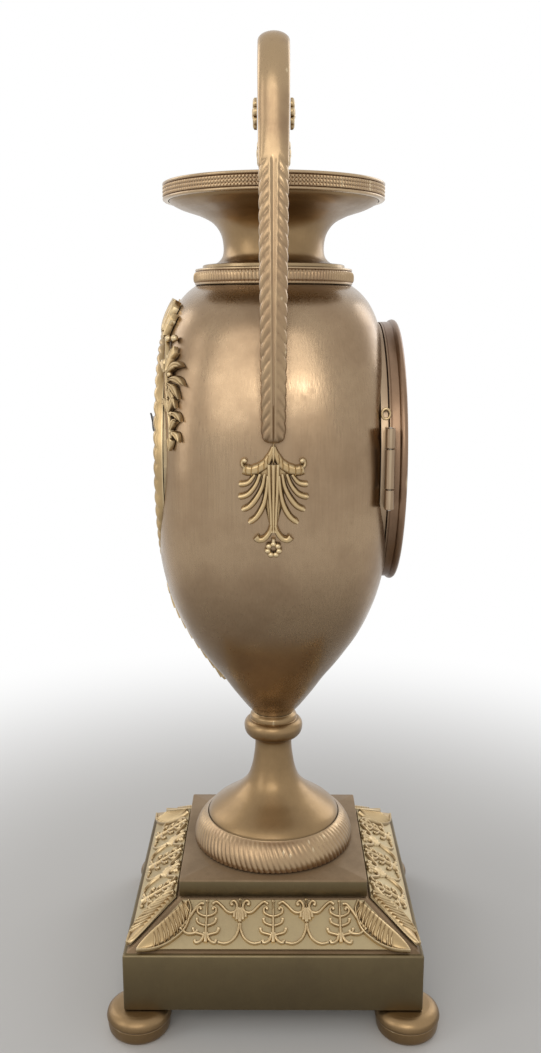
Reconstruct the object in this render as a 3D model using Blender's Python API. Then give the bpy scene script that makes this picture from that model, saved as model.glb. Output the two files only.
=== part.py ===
"""Gilt bronze urn clock: square plinth, turned foot, flattened egg-shaped vase, round dial, back door.

Metres, +Z up, the dial faces -Y. The origin is on the floor, on the vase's axis.
"""
import math

import bmesh
import bpy
from mathutils import Matrix, Vector

MM = 0.001

# Clearances
GAP = 0.3 * MM
CUT_RUN = 3.0 * MM
ROUND = 24

# Feet and plinth
FOOT_HEIGHT = 11.0 * MM
FOOT_RADIUS = 12.6 * MM
FOOT_INSET = 5.3 * MM
PLINTH_HALF = 57.5 * MM
PLINTH_BLOCK = 23.5 * MM
PLINTH_LIP = 1.6 * MM
PLINTH_SLOPE = 11.9 * MM
PLINTH_WALL = 3.0 * MM
BASE_PLATE_THICK = 2.0 * MM
CAP_HALF = 37.3 * MM
CAP_HEIGHT = 7.8 * MM
FRIEZE_THICK = 0.9 * MM
FRIEZE_RELIEF = 1.3 * MM
FRIEZE_MARGIN = 1.2 * MM
FRIEZE_STEMS = 5
FRIEZE_LEAF_SHARE = 0.84
FRIEZE_GROUND_SHARE = 0.35
FRIEZE_STEM_SHARE = 0.5
FRIEZE_ARC_SHARE = 0.3
FOOT_PROFILE_SHARES = ((0.72, 1.0), (0.9, 0.86), (1.0, 0.66), (1.0, 0.5), (0.93, 0.4), (0.93, 0.14),
                       (0.8, 0.0))

# Turned foot and knop
ROPE_RING_RADIUS = 33.5 * MM
ROPE_RING_BORE = 28.0 * MM
ROPE_RING_HEIGHT = 11.4 * MM
ROPE_SHARES = ((0.0, 0.93), (0.3, 1.0), (0.62, 0.93), (0.86, 0.62), (1.0, 0.1))
STEM_TOP = 99.7 * MM
STEM_NECK = 7.6 * MM
STEM_SHARES = ((0.33, 0.86), (0.4, 0.62), (0.47, 0.4), (0.57, 0.18), (0.68, 0.08), (0.8, 0.03),
               (0.92, 0.0))
KNOP_RADIUS = 12.2 * MM
KNOP_HEIGHT = 10.7 * MM
KNOP_SHARES = ((0.0, 0.72), (0.22, 0.94), (0.45, 1.0), (0.68, 0.9), (0.74, 0.78), (0.88, 0.78),
               (1.0, 0.68))
ROD_RADIUS = 2.0 * MM
ROD_HOLE = 2.4 * MM
NUT_RADIUS = 4.6 * MM
NUT_HEIGHT = 4.0 * MM

# Vase body: heights and radii seen from the side, and its wider front
BODY_FLOOR = 8.0 * MM
BODY_HEIGHT = 173.0 * MM
BODY_DEPTH = 45.0 * MM
BODY_WIDTH = 58.0 * MM
BODY_FOOT = 8.4 * MM
BODY_WALL = 1.6 * MM
COLLAR_SEAT = 30.0 * MM
NECK_BORE = 24.0 * MM
SQUARENESS = 2.0
SEAT_WIDTH = 3.0 * MM
SEAT_DEPTH = 2.0 * MM
BODY_SHARES = (
    (0.0, 0.187), (0.026, 0.265), (0.072, 0.382), (0.115, 0.48), (0.155, 0.58), (0.195, 0.67),
    (0.236, 0.755), (0.283, 0.832), (0.34, 0.902), (0.41, 0.957), (0.49, 0.991), (0.57, 1.0),
    (0.64, 0.998), (0.72, 0.985), (0.80, 0.955), (0.87, 0.911), (0.924, 0.866), (0.96, 0.808),
    (0.985, 0.735), (1.0, 0.667))

# Neck, dish and rim
COLLAR_HEIGHT = 5.8 * MM
COLLAR_RADIUS = 30.8 * MM
NECK_WAIST = 19.2 * MM
NECK_STEP = 27.2 * MM
NECK_STEP_HEIGHT = 1.3 * MM
NECK_HEIGHT = 24.6 * MM
DISH_RADIUS = 39.6 * MM
DISH_LIP = 1.8 * MM
DISH_DEPTH = 9.5 * MM
NECK_SHARES = ((0.04, 0.12), (0.14, 0.02), (0.3, 0.0), (0.48, 0.04), (0.64, 0.16), (0.78, 0.4),
               (0.89, 0.78), (1.0, 1.0))
RIM_RADIUS = 42.0 * MM
RIM_HEIGHT = 6.4 * MM

# Handles and their leaf mounts
HANDLE_WIDTH = 10.6 * MM
HANDLE_FOOT_WIDTH = 8.4 * MM
HANDLE_DEPTH = 6.4 * MM
HANDLE_RISE = 42.9 * MM
HANDLE_SIDES = 8
HANDLE_STEPS = 3
EYE_RADIUS = 5.2 * MM
EYE_THICK = 1.6 * MM
LEAF_TOP_SHARE = 0.6855
LEAF_BOTTOM_SHARE = 0.4566
LEAF_HALF = 12.7 * MM
LEAF_THICK = 2.2 * MM
LEAF_SHARES = (0.06, 0.3, 1.0, 0.86, 0.98, 0.84, 0.92, 0.74, 0.78, 0.56, 0.52, 0.3, 0.36, 0.3,
               0.12)

# Dial side
DIAL_SHARE = 0.633
FRONT_SINK = 8.3 * MM
BEZEL_MARGIN = 9.7 * MM
BEZEL_WIDTH = 3.8 * MM
BEZEL_DEPTH = 3.5 * MM
PAN_THICK = 1.7 * MM
DIAL_THICK = 1.2 * MM
DIAL_CROWN = 2.6 * MM
DIAL_HOLE = 2.6 * MM
KEY_HOLE = 2.6 * MM
HAND_THICK = 0.6 * MM
MINUTE_SHARE = 0.787
HOUR_SHARE = 0.54
HAND_EYE = 4.2 * MM
MINUTE_SHOWN = 10.0
HOUR_SHOWN = 10.0
SPRAY_CLEAR = 4.7 * MM
SPRAY_WIDTH = 7.6 * MM
SPRAY_THICK = 2.4 * MM
SPRAY_START = 15.0
SPRAY_END = 74.0
DROP_CLEAR = 2.7 * MM
DROP_BOTTOM_SHARE = 0.079
DROP_HALF = 13.0 * MM
DROP_THICK = 2.6 * MM
DROP_SHARES = (0.5, 0.86, 1.0, 0.84, 0.94, 0.78, 0.84, 0.66, 0.68, 0.5, 0.46, 0.3, 0.2, 0.08)
HAND_SHARES = ((0.0, 0.14), (0.1, 0.1), (0.16, 0.03), (0.62, 0.025), (0.68, 0.07), (0.76, 0.07),
               (0.82, 0.02), (1.0, 0.0))
SPRAY_PINCH_SHARE = 0.72

# Back door
BACK_SINK = 7.6 * MM
DOOR_MARGIN = 8.0 * MM
BACK_RING_WIDTH = 9.0 * MM
BACK_RING_DEPTH = 2.7 * MM
DOOR_DEPTH = 5.6 * MM
DOOR_WALL = 1.3 * MM
DOOR_BEAD = 0.9 * MM
DOOR_CROWN = 1.2 * MM
DOOR_CROWN_SHARES = ((0.0, 1.0), (0.6, 0.8), (0.92, 0.0))
HINGE_OFFSET = 2.0 * MM
KNUCKLE_RADIUS = 1.7 * MM
PIN_RADIUS = 0.7 * MM
KNUCKLE_LONG = 14.0 * MM
KNUCKLE_SHORT = 7.0 * MM
LEAF_PLATE = 1.0 * MM
KNOB_RADIUS = 2.6 * MM
KNOB_HEIGHT = 3.0 * MM
KNOB_SHARES = ((0.6, 0.0), (0.6, 0.4), (1.0, 0.6), (0.7, 1.0))
KNOB_SHARE = 0.82

# Movement
PLATE_CLEAR = 5.0 * MM
PLATE_THICK = 1.5 * MM
FRONT_PLATE_SINK = 6.2 * MM
BACK_PLATE_SINK = 2.5 * MM
PILLAR_RADIUS = 2.2 * MM
PILLAR_SHARE = 0.861
PILLAR_ANGLES = (-90.0, 30.0, 150.0)
ARBOR_RADIUS = 1.2 * MM
ARBOR_HOLE = 1.6 * MM
BARREL_SHARE = 0.361
BARREL_LENGTH_SHARE = 0.49
BARREL_ACROSS_SHARE = 0.4722
BARREL_DROP_SHARE = 0.2944
GREAT_WHEEL_SHARE = 0.45
TOOTH = 0.9 * MM
WHEEL_THICK = 1.2 * MM
TEETH = 12
STRIKE_TAIL = 3.0 * MM
ANCHOR_SHARES = ((-0.3, 0.3), (0.3, 0.3), (1.0, -0.1), (1.25, -0.9), (1.05, -0.9), (0.7, -0.3),
                 (0.0, -0.15), (-0.7, -0.3), (-1.05, -0.9), (-1.25, -0.9), (-1.0, -0.1))
CENTRE_WHEEL_SHARE = 0.239
CENTRE_PINION_SHARE = 0.0944
HOUR_WHEEL_SHARE = 0.167
HOUR_PIPE = 2.1 * MM
HOUR_BORE = 1.5 * MM
ESCAPE_SHARE = 0.178
ESCAPE_LIFT_SHARE = 0.4722
PALLET_LIFT_SHARE = 0.7917
ANCHOR_BAR = 1.6 * MM
PENDULUM_BEHIND = 11.0 * MM
PENDULUM_SHARE = 0.532
PENDULUM_ROD = 0.8 * MM
BOB_RADIUS = 9.0 * MM
BOB_THICK = 4.4 * MM
BOB_SHARES = ((0.6, 0.8), (1.0, 0.0))
CRUTCH_LENGTH = 26.0 * MM
COCK_HALF = 4.0 * MM
COCK_HEIGHT = 3.0 * MM
BELL_SHARE = 0.5556
BELL_DEPTH = 11.0 * MM
BELL_WALL = 1.0 * MM
BELL_SHARES = ((1.0, 0.0), (0.97, 0.35), (0.82, 0.72), (0.5, 0.94))
BELL_BEHIND = 20.0 * MM
BELL_ACROSS_SHARE = 0.3889
BELL_DROP_SHARE = 0.0833
HAMMER_ACROSS_SHARE = -0.5278
HAMMER_LIFT_SHARE = 0.4167
HAMMER_ARM_SHARE = 0.756
HAMMER_HEAD = 2.6 * MM
COUNT_SHARE = 0.222
STRAP_WIDTH = 5.0 * MM
STRAP_THICK = 1.2 * MM

# Levels worked out from the sizes
PLINTH_TOP = FOOT_HEIGHT + PLINTH_BLOCK + PLINTH_SLOPE
CAP_TOP = PLINTH_TOP + CAP_HEIGHT
BODY_BASE = STEM_TOP + KNOP_HEIGHT + 2 * GAP
BODY_TOP = BODY_BASE + BODY_HEIGHT
COLLAR_TOP = BODY_TOP + GAP + COLLAR_HEIGHT
NECK_BASE = COLLAR_TOP + GAP
DISH_EDGE = NECK_BASE + NECK_HEIGHT
RIM_TOP = DISH_EDGE + RIM_HEIGHT
DIAL_HEIGHT = BODY_BASE + BODY_HEIGHT * DIAL_SHARE
FRONT_PLANE = BODY_DEPTH - FRONT_SINK
BACK_PLANE = BODY_DEPTH - BACK_SINK
BEZEL_RADIUS = BODY_WIDTH - BEZEL_MARGIN
BEZEL_BORE = BEZEL_RADIUS - BEZEL_WIDTH
DOOR_RADIUS = BODY_WIDTH - DOOR_MARGIN
DOOR_BORE = DOOR_RADIUS - BACK_RING_WIDTH
LEAF_TOP = BODY_BASE + BODY_HEIGHT * LEAF_TOP_SHARE
LEAF_BOTTOM = BODY_BASE + BODY_HEIGHT * LEAF_BOTTOM_SHARE
DROP_TOP = DIAL_HEIGHT - BEZEL_RADIUS - DROP_CLEAR
DROP_BOTTOM = BODY_BASE + BODY_HEIGHT * DROP_BOTTOM_SHARE
SPRAY_RADIUS = BEZEL_RADIUS + SPRAY_CLEAR
MINUTE_REACH = BEZEL_BORE * MINUTE_SHARE
HOUR_REACH = BEZEL_BORE * HOUR_SHARE
BEZEL_BACK = FRONT_PLANE + 2 * GAP + PAN_THICK
BEZEL_FACE = BEZEL_BACK + BEZEL_DEPTH
HAND_PLANE = BEZEL_BACK + DIAL_THICK + DIAL_CROWN + 2 * GAP
BACK_RING_FACE = BACK_PLANE + GAP + BACK_RING_DEPTH
DOOR_FRONT = BACK_RING_FACE + GAP
DOOR_FACE = DOOR_FRONT + DOOR_DEPTH
HINGE_X = DOOR_RADIUS + HINGE_OFFSET
HINGE_Y = BACK_RING_FACE + GAP / 2
KNOB_PLACE = DOOR_RADIUS * KNOB_SHARE
PLATE_RADIUS = DOOR_BORE - PLATE_CLEAR
FRONT_PLATE_FACE = FRONT_PLANE - FRONT_PLATE_SINK
BACK_PLATE_FACE = -BACK_PLATE_SINK
PLATE_SPACE = BACK_PLATE_FACE + FRONT_PLATE_FACE - PLATE_THICK
MOVEMENT_BACK = BACK_PLATE_FACE + PLATE_THICK
PILLAR_CIRCLE = PLATE_RADIUS * PILLAR_SHARE
BARREL_RADIUS = PLATE_RADIUS * BARREL_SHARE
BARREL_LENGTH = PLATE_SPACE * BARREL_LENGTH_SHARE
BARREL_ACROSS = PLATE_RADIUS * BARREL_ACROSS_SHARE
BARREL_DROP = PLATE_RADIUS * BARREL_DROP_SHARE
GREAT_WHEEL = PLATE_RADIUS * GREAT_WHEEL_SHARE
CENTRE_WHEEL = PLATE_RADIUS * CENTRE_WHEEL_SHARE
CENTRE_PINION = PLATE_RADIUS * CENTRE_PINION_SHARE
HOUR_WHEEL = PLATE_RADIUS * HOUR_WHEEL_SHARE
ESCAPE_RADIUS = PLATE_RADIUS * ESCAPE_SHARE
ESCAPE_LIFT = PLATE_RADIUS * ESCAPE_LIFT_SHARE
PALLET_LIFT = PLATE_RADIUS * PALLET_LIFT_SHARE
PENDULUM_PLANE = MOVEMENT_BACK + PENDULUM_BEHIND
PENDULUM_LENGTH = BODY_HEIGHT * PENDULUM_SHARE
BELL_RADIUS = PLATE_RADIUS * BELL_SHARE
BELL_FACE = MOVEMENT_BACK + BELL_BEHIND
BELL_ACROSS = PLATE_RADIUS * BELL_ACROSS_SHARE
BELL_DROP = PLATE_RADIUS * BELL_DROP_SHARE
HAMMER_ACROSS = PLATE_RADIUS * HAMMER_ACROSS_SHARE
HAMMER_LIFT = PLATE_RADIUS * HAMMER_LIFT_SHARE
COUNT_RADIUS = PLATE_RADIUS * COUNT_SHARE
DIAL_CENTRE = Vector((0.0, 0.0, DIAL_HEIGHT))

# Finishes: colour, metallic, roughness
FINISHES = {
    "gilt": ((0.62, 0.42, 0.19), 1.0, 0.32),
    "gilt_matt": ((0.55, 0.36, 0.16), 1.0, 0.5),
    "aged_brass": ((0.42, 0.29, 0.16), 1.0, 0.42),
    "brass": ((0.72, 0.55, 0.26), 1.0, 0.3),
    "steel": ((0.45, 0.45, 0.46), 1.0, 0.35),
    "blued_steel": ((0.02, 0.025, 0.05), 1.0, 0.3),
    "enamel": ((0.9, 0.89, 0.84), 0.0, 0.15),
    "bell_metal": ((0.6, 0.5, 0.32), 1.0, 0.3),
    "iron": ((0.12, 0.11, 0.1), 0.8, 0.6),
}


def finish(name):
    """The shared Principled material of one finish."""
    found = bpy.data.materials.get(name)
    if found:
        return found
    colour, metallic, roughness = FINISHES[name]
    made = bpy.data.materials.new(name)
    made.use_nodes = True
    shader = made.node_tree.nodes["Principled BSDF"]
    shader.inputs["Base Color"].default_value = (*colour, 1.0)
    shader.inputs["Metallic"].default_value = metallic
    shader.inputs["Roughness"].default_value = roughness
    made.diffuse_color = (*colour, 1.0)
    return made


def add(name, bm, material, axis=None):
    """Links a cleaned bmesh as one named object, its origin on its joint's axis if it has one."""
    bmesh.ops.remove_doubles(bm, verts=bm.verts, dist=GAP / ROUND / ROUND)
    bmesh.ops.recalc_face_normals(bm, faces=bm.faces)
    mesh = bpy.data.meshes.new(name)
    bm.to_mesh(mesh)
    bm.free()
    mesh.shade_smooth()
    mesh.set_sharp_from_angle(angle=math.radians(35))
    made = bpy.data.objects.new(name, mesh)
    bpy.context.scene.collection.objects.link(made)
    made.data.materials.append(finish(material))
    if axis:
        hang(made, axis)
    return made


def hang(piece, axis):
    """Moves a piece's origin to a point on its joint's axis; the piece stays where it is."""
    piece.data.transform(Matrix.Translation(piece.location - axis))
    piece.location = axis


def spun(profile, centre, axis="Z", steps=ROUND):
    """A bmesh turned about an axis. Each profile point is (radius, place along the axis)."""
    bm = bmesh.new()
    out = Vector((1.0, 0.0, 0.0))
    along = Vector((0.0, 0.0, 1.0)) if axis == "Z" else Vector((0.0, 1.0, 0.0))
    verts = [bm.verts.new(centre + out * radius + along * place) for radius, place in profile]
    closed = profile[0][0] > 0
    pairs = list(zip(verts, verts[1:] + verts[:1])) if closed else list(zip(verts, verts[1:]))
    edges = [bm.edges.new(pair) for pair in pairs]
    bmesh.ops.spin(bm, geom=verts + edges, cent=centre, axis=along, angle=math.tau, steps=steps,
                   use_merge=True, use_duplicate=False)
    bmesh.ops.remove_doubles(bm, verts=bm.verts, dist=GAP / ROUND)
    return bm


def rod(radius, low, high, centre, axis="Z", steps=12):
    """A plain turned rod between two places along its axis."""
    return spun([(0.0, low), (radius, low), (radius, high), (0.0, high)], centre, axis, steps)


def box(low, high):
    """A rectangular block between two corners."""
    bm = bmesh.new()
    bmesh.ops.create_cube(bm, size=1.0)
    low, high = Vector(low), Vector(high)
    for vert in bm.verts:
        vert.co = Vector(low[i] + (vert.co[i] + 0.5) * (high[i] - low[i]) for i in range(3))
    return bm


def lofted(rings, cap_start=True, cap_end=True):
    """A bmesh skinned over rings of equal point counts."""
    bm = bmesh.new()
    loops = [[bm.verts.new(point) for point in ring] for ring in rings]
    count = len(loops[0])
    for near, far in zip(loops, loops[1:]):
        for i in range(count):
            bm.faces.new((near[i], near[(i + 1) % count], far[(i + 1) % count], far[i]))
    if cap_start:
        bm.faces.new(loops[0])
    if cap_end:
        bm.faces.new(loops[-1])
    return bm


def prism(outline, low, high, centre):
    """An outline of (x, z) points about centre, extruded along Y."""
    ring = [[Vector((centre.x + x, y, centre.z + z)) for x, z in outline] for y in (low, high)]
    return lofted(ring)


def combine(piece, other_bm, operation):
    """Cuts or joins a bmesh into a piece with an exact Boolean, and keeps the result as its mesh."""
    bmesh.ops.recalc_face_normals(other_bm, faces=other_bm.faces)
    mesh = bpy.data.meshes.new("tool")
    other_bm.to_mesh(mesh)
    other_bm.free()
    tool = bpy.data.objects.new("tool", mesh)
    bpy.context.scene.collection.objects.link(tool)
    step = piece.modifiers.new("combine", "BOOLEAN")
    step.operation = operation
    step.object = tool
    step.solver = "EXACT"
    bpy.context.view_layer.update()
    shaped = bpy.data.meshes.new_from_object(piece.evaluated_get(bpy.context.evaluated_depsgraph_get()))
    piece.modifiers.clear()
    piece.data = shaped
    shaped.name = piece.name
    bpy.data.objects.remove(tool)
    shaped.shade_smooth()
    shaped.set_sharp_from_angle(angle=math.radians(35))


def cut(piece, other_bm):
    combine(piece, other_bm, "DIFFERENCE")


def join(piece, other_bm):
    combine(piece, other_bm, "UNION")


def turned(name, profile, material, centre=Vector(), axis="Z", joint=None, steps=ROUND):
    return add(name, spun(profile, centre, axis, steps), material, joint)


# Feet and plinth
def square_ring(half, z):
    return [Vector((sx * half, sy * half, z)) for sx, sy in ((1, 1), (-1, 1), (-1, -1), (1, -1))]


def make_feet():
    place = PLINTH_HALF - FOOT_INSET
    top = FOOT_HEIGHT - GAP
    profile = [(0.0, top)]
    profile += [(FOOT_RADIUS * across, top * up) for across, up in FOOT_PROFILE_SHARES]
    profile += [(0.0, 0.0)]
    for end, sy in (("front", -1), ("back", 1)):
        for side, sx in (("left", -1), ("right", 1)):
            centre = Vector((sx * place, sy * place, 0.0))
            turned("foot_%s_%s" % (end, side), profile, "gilt", centre, steps=ROUND - 4)


def make_plinth():
    block_top = FOOT_HEIGHT + PLINTH_BLOCK
    inner = PLINTH_HALF - PLINTH_WALL
    rings = [square_ring(inner, FOOT_HEIGHT), square_ring(PLINTH_HALF, FOOT_HEIGHT),
             square_ring(PLINTH_HALF, block_top), square_ring(PLINTH_HALF - PLINTH_LIP, block_top),
             square_ring(CAP_HALF, PLINTH_TOP), square_ring(CAP_HALF - PLINTH_WALL, PLINTH_TOP),
             square_ring(CAP_HALF - PLINTH_WALL, PLINTH_TOP - PLINTH_WALL),
             square_ring(inner, block_top - PLINTH_WALL), square_ring(inner, FOOT_HEIGHT)]
    plinth = add("plinth", lofted(rings, False, False), "gilt")
    join(plinth, box((-CAP_HALF + PLINTH_LIP, -CAP_HALF + PLINTH_LIP, PLINTH_TOP - PLINTH_WALL),
                     (CAP_HALF - PLINTH_LIP, CAP_HALF - PLINTH_LIP, PLINTH_TOP)))
    cut(plinth, rod(ROD_HOLE, 0.0, CAP_TOP, Vector()))
    half = inner - GAP
    top = FOOT_HEIGHT + BASE_PLATE_THICK
    plate = add("base_plate", box((-half, -half, FOOT_HEIGHT), (half, half, top)), "iron")
    cut(plate, rod(ROD_HOLE, 0.0, CAP_TOP, Vector()))
    low = PLINTH_TOP + GAP
    cap = add("plinth_cap", box((-CAP_HALF, -CAP_HALF, low), (CAP_HALF, CAP_HALF, CAP_TOP)), "gilt")
    cut(cap, rod(ROD_HOLE, 0.0, CAP_TOP + CUT_RUN, Vector()))


def frieze_relief(across, up):
    """Height share of the anthemion relief: leaf corners, upright stems and hanging arcs."""
    if abs(across) > FRIEZE_LEAF_SHARE:
        return 1.0 - abs(up - 0.5)
    wave = math.cos(across / FRIEZE_LEAF_SHARE * math.pi * FRIEZE_STEMS)
    stem = FRIEZE_STEM_SHARE * max(wave, 0.0) * (1.0 - up / 2)
    return FRIEZE_GROUND_SHARE + stem + FRIEZE_ARC_SHARE * max(-wave, 0.0) * up


def make_friezes(columns=24, rows=4):
    slope_low = Vector((0.0, -(PLINTH_HALF - PLINTH_LIP), FOOT_HEIGHT + PLINTH_BLOCK))
    slope_high = Vector((0.0, -CAP_HALF, PLINTH_TOP))
    rise = slope_high - slope_low
    length = rise.length
    rise.normalize()
    out = rise.cross(Vector((-1.0, 0.0, 0.0)))
    narrowing = (PLINTH_HALF - PLINTH_LIP - CAP_HALF) / length
    grids = []
    for lift in ("back", "face"):
        grid = []
        for j in range(rows + 1):
            up = j / rows
            climb = FRIEZE_MARGIN + up * (length - 2 * FRIEZE_MARGIN)
            half = PLINTH_HALF - PLINTH_LIP - climb * narrowing - 2 * FRIEZE_MARGIN
            line = []
            for i in range(columns + 1):
                across = 2 * i / columns - 1
                edge = i in (0, columns) or j in (0, rows)
                stand = FRIEZE_THICK + (0.0 if edge else FRIEZE_RELIEF * frieze_relief(across, up))
                stand = stand if lift == "face" else 0.0
                aside = Vector((across * half, 0.0, 0.0))
                line.append(slope_low + rise * climb + out * (GAP + stand) + aside)
            grid.append(line)
        grids.append(grid)
    for k, name in enumerate(("front", "right", "back", "left")):
        turn = Matrix.Rotation(k * math.pi / 2, 3, "Z")
        add("frieze_" + name, slab([[turn @ p for p in line] for line in grids[0]],
                                   [[turn @ p for p in line] for line in grids[1]]), "gilt_matt")


def slab(back, face):
    """A closed solid between two grids of equal size."""
    bm = bmesh.new()
    sheets = [[[bm.verts.new(p) for p in line] for line in grid] for grid in (back, face)]
    rows, columns = len(back), len(back[0])
    for sheet in sheets:
        for j in range(rows - 1):
            for i in range(columns - 1):
                bm.faces.new((sheet[j][i], sheet[j][i + 1], sheet[j + 1][i + 1], sheet[j + 1][i]))
    rim = [(0, i) for i in range(columns)] + [(j, columns - 1) for j in range(1, rows)]
    rim += [(rows - 1, i) for i in range(columns - 2, -1, -1)] + [(j, 0) for j in range(rows - 2, 0, -1)]
    for (j, i), (q, p) in zip(rim, rim[1:] + rim[:1]):
        bm.faces.new((sheets[0][j][i], sheets[0][q][p], sheets[1][q][p], sheets[1][j][i]))
    return bm


# Turned foot, knop and tie rod
def make_stem():
    low = CAP_TOP + GAP
    ring_top = low + ROPE_RING_HEIGHT
    swell = ROPE_RING_RADIUS - ROPE_RING_BORE
    rope = [(ROPE_RING_BORE, low)]
    rope += [(ROPE_RING_BORE + swell * out, low + ROPE_RING_HEIGHT * up) for up, out in ROPE_SHARES]
    rope += [(ROPE_RING_BORE, ring_top)]
    turned("rope_ring", rope, "gilt_matt", steps=ROUND + 8)
    bell = ROPE_RING_BORE - GAP
    rise = STEM_TOP - low
    stem = [(ROD_HOLE, low), (bell, low), (bell, ring_top)]
    stem += [(STEM_NECK + (bell - STEM_NECK) * out, low + rise * up) for up, out in STEM_SHARES]
    stem += [(STEM_NECK, STEM_TOP), (ROD_HOLE, STEM_TOP)]
    turned("foot_stem", stem, "gilt")
    knop_low = STEM_TOP + GAP
    knop = [(ROD_HOLE, knop_low)]
    knop += [(KNOP_RADIUS * out, knop_low + KNOP_HEIGHT * up) for up, out in KNOP_SHARES]
    knop += [(ROD_HOLE, knop_low + KNOP_HEIGHT)]
    turned("stem_knop", knop, "gilt", steps=ROUND - 4)
    nut_low = FOOT_HEIGHT - GAP - NUT_HEIGHT
    nut_high = BODY_BASE + BODY_FLOOR + GAP
    rod_low = nut_low - GAP
    rod_high = nut_high + NUT_HEIGHT + GAP
    add("tie_rod", rod(ROD_RADIUS, rod_low, rod_high, Vector()), "steel")
    for name, z in (("tie_nut_lower", nut_low), ("tie_nut_upper", nut_high)):
        sleeve = ROD_RADIUS + GAP
        top = z + NUT_HEIGHT
        turned(name, [(sleeve, z), (NUT_RADIUS, z), (NUT_RADIUS, top), (sleeve, top)], "steel", steps=6)


# Vase body
def body_radii(z, inset=0.0):
    """Half width, half depth and squareness of the vase at a height."""
    place = min(max((z - BODY_BASE) / BODY_HEIGHT, 0.0), 1.0)
    depth = BODY_DEPTH * BODY_SHARES[-1][1]
    for (low, near), (high, far) in zip(BODY_SHARES, BODY_SHARES[1:]):
        if low <= place <= high:
            depth = BODY_DEPTH * (near + (far - near) * (place - low) / (high - low))
            break
    widest = BODY_SHARES[11][0]
    start = BODY_FOOT if place < widest else COLLAR_SEAT
    swell = max((depth - start) / (BODY_DEPTH - start), 0.0)
    width = depth + (BODY_WIDTH - BODY_DEPTH) * swell
    return width - inset, depth - inset, 2.0 + SQUARENESS * swell


def body_ring(z, inset=0.0, steps=ROUND + 8):
    """One level of the vase. The inside, which has an inset, is flat behind the dial and the door."""
    width, depth, power = body_radii(z, inset)
    ring = []
    for i in range(steps):
        angle = math.tau * i / steps
        c, s = math.cos(angle), math.sin(angle)
        stretch = (abs(c) ** power + abs(s) ** power) ** (-1 / power)
        across = depth * s * stretch
        if inset:
            across = min(max(across, SEAT_DEPTH - FRONT_PLANE), BACK_PLANE - SEAT_DEPTH)
        ring.append(Vector((width * c * stretch, across, z)))
    return ring


def round_ring(radius, z, steps=ROUND + 8):
    return [Vector((radius * math.cos(math.tau * i / steps), radius * math.sin(math.tau * i / steps), z))
            for i in range(steps)]


def seat_cut(radius, plane, way):
    """Cuts a flat seat for a round piece of this radius into the vase, and a bore through its wall."""
    outside = radius + 2 * GAP
    bore = radius - SEAT_WIDTH
    profile = [(0.0, way * BODY_WIDTH), (outside, way * BODY_WIDTH), (outside, way * plane),
               (bore, way * plane), (bore, way * (plane - SEAT_DEPTH - CUT_RUN)),
               (0.0, way * (plane - SEAT_DEPTH - CUT_RUN))]
    return spun(profile, DIAL_CENTRE, "Y", ROUND + 8)


def make_body():
    heights = [BODY_BASE + share * BODY_HEIGHT for share, _ in BODY_SHARES]
    floor = BODY_BASE + BODY_FLOOR
    rings = [round_ring(ROD_HOLE, BODY_BASE)]
    rings += [body_ring(z) for z in heights]
    rings += [round_ring(NECK_BORE, BODY_TOP), round_ring(NECK_BORE, BODY_TOP - BODY_WALL)]
    inner = [z for z in heights[::-2] if floor + BODY_FLOOR < z < BODY_TOP - BODY_WALL]
    rings += [body_ring(z, BODY_WALL) for z in inner]
    rings += [body_ring(floor, BODY_WALL), round_ring(ROD_HOLE, floor), rings[0]]
    body = add("vase_body", lofted(rings, False, False), "gilt")
    cut(body, seat_cut(BEZEL_RADIUS, FRONT_PLANE, -1))
    cut(body, seat_cut(DOOR_RADIUS, BACK_PLANE, 1))


def body_point(side, across, z, stand):
    """A point standing off the vase: side is 'side' for +X, or 'front' for -Y."""
    width, depth, power = body_radii(z)
    if side == "side":
        reach = width * max(1 - abs(across / depth) ** power, 0.0) ** (1 / power)
        return Vector((reach + stand, across, z))
    reach = depth * max(1 - abs(across / width) ** power, 0.0) ** (1 / power)
    return Vector((across, -reach - stand, z))


def leaf_grid(side, top, bottom, half, shares, thick, columns=8):
    """Back and face grids of a ribbed leaf that lies on the vase."""
    back, face = [], []
    rows = len(shares) - 1
    for j, share in enumerate(shares):
        z = top + (bottom - top) * j / rows
        back.append([])
        face.append([])
        for i in range(columns + 1):
            u = 2 * i / columns - 1
            rib = 0.62 + 0.38 * math.cos(u * math.pi * columns / 4)
            edge = i in (0, columns) or j in (0, rows)
            stand = thick * (0.4 if edge else rib * (1.0 - 0.3 * u * u))
            back[j].append(body_point(side, u * half * share, z, 2 * GAP))
            face[j].append(body_point(side, u * half * share, z, 2 * GAP + stand))
    return back, face


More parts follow.
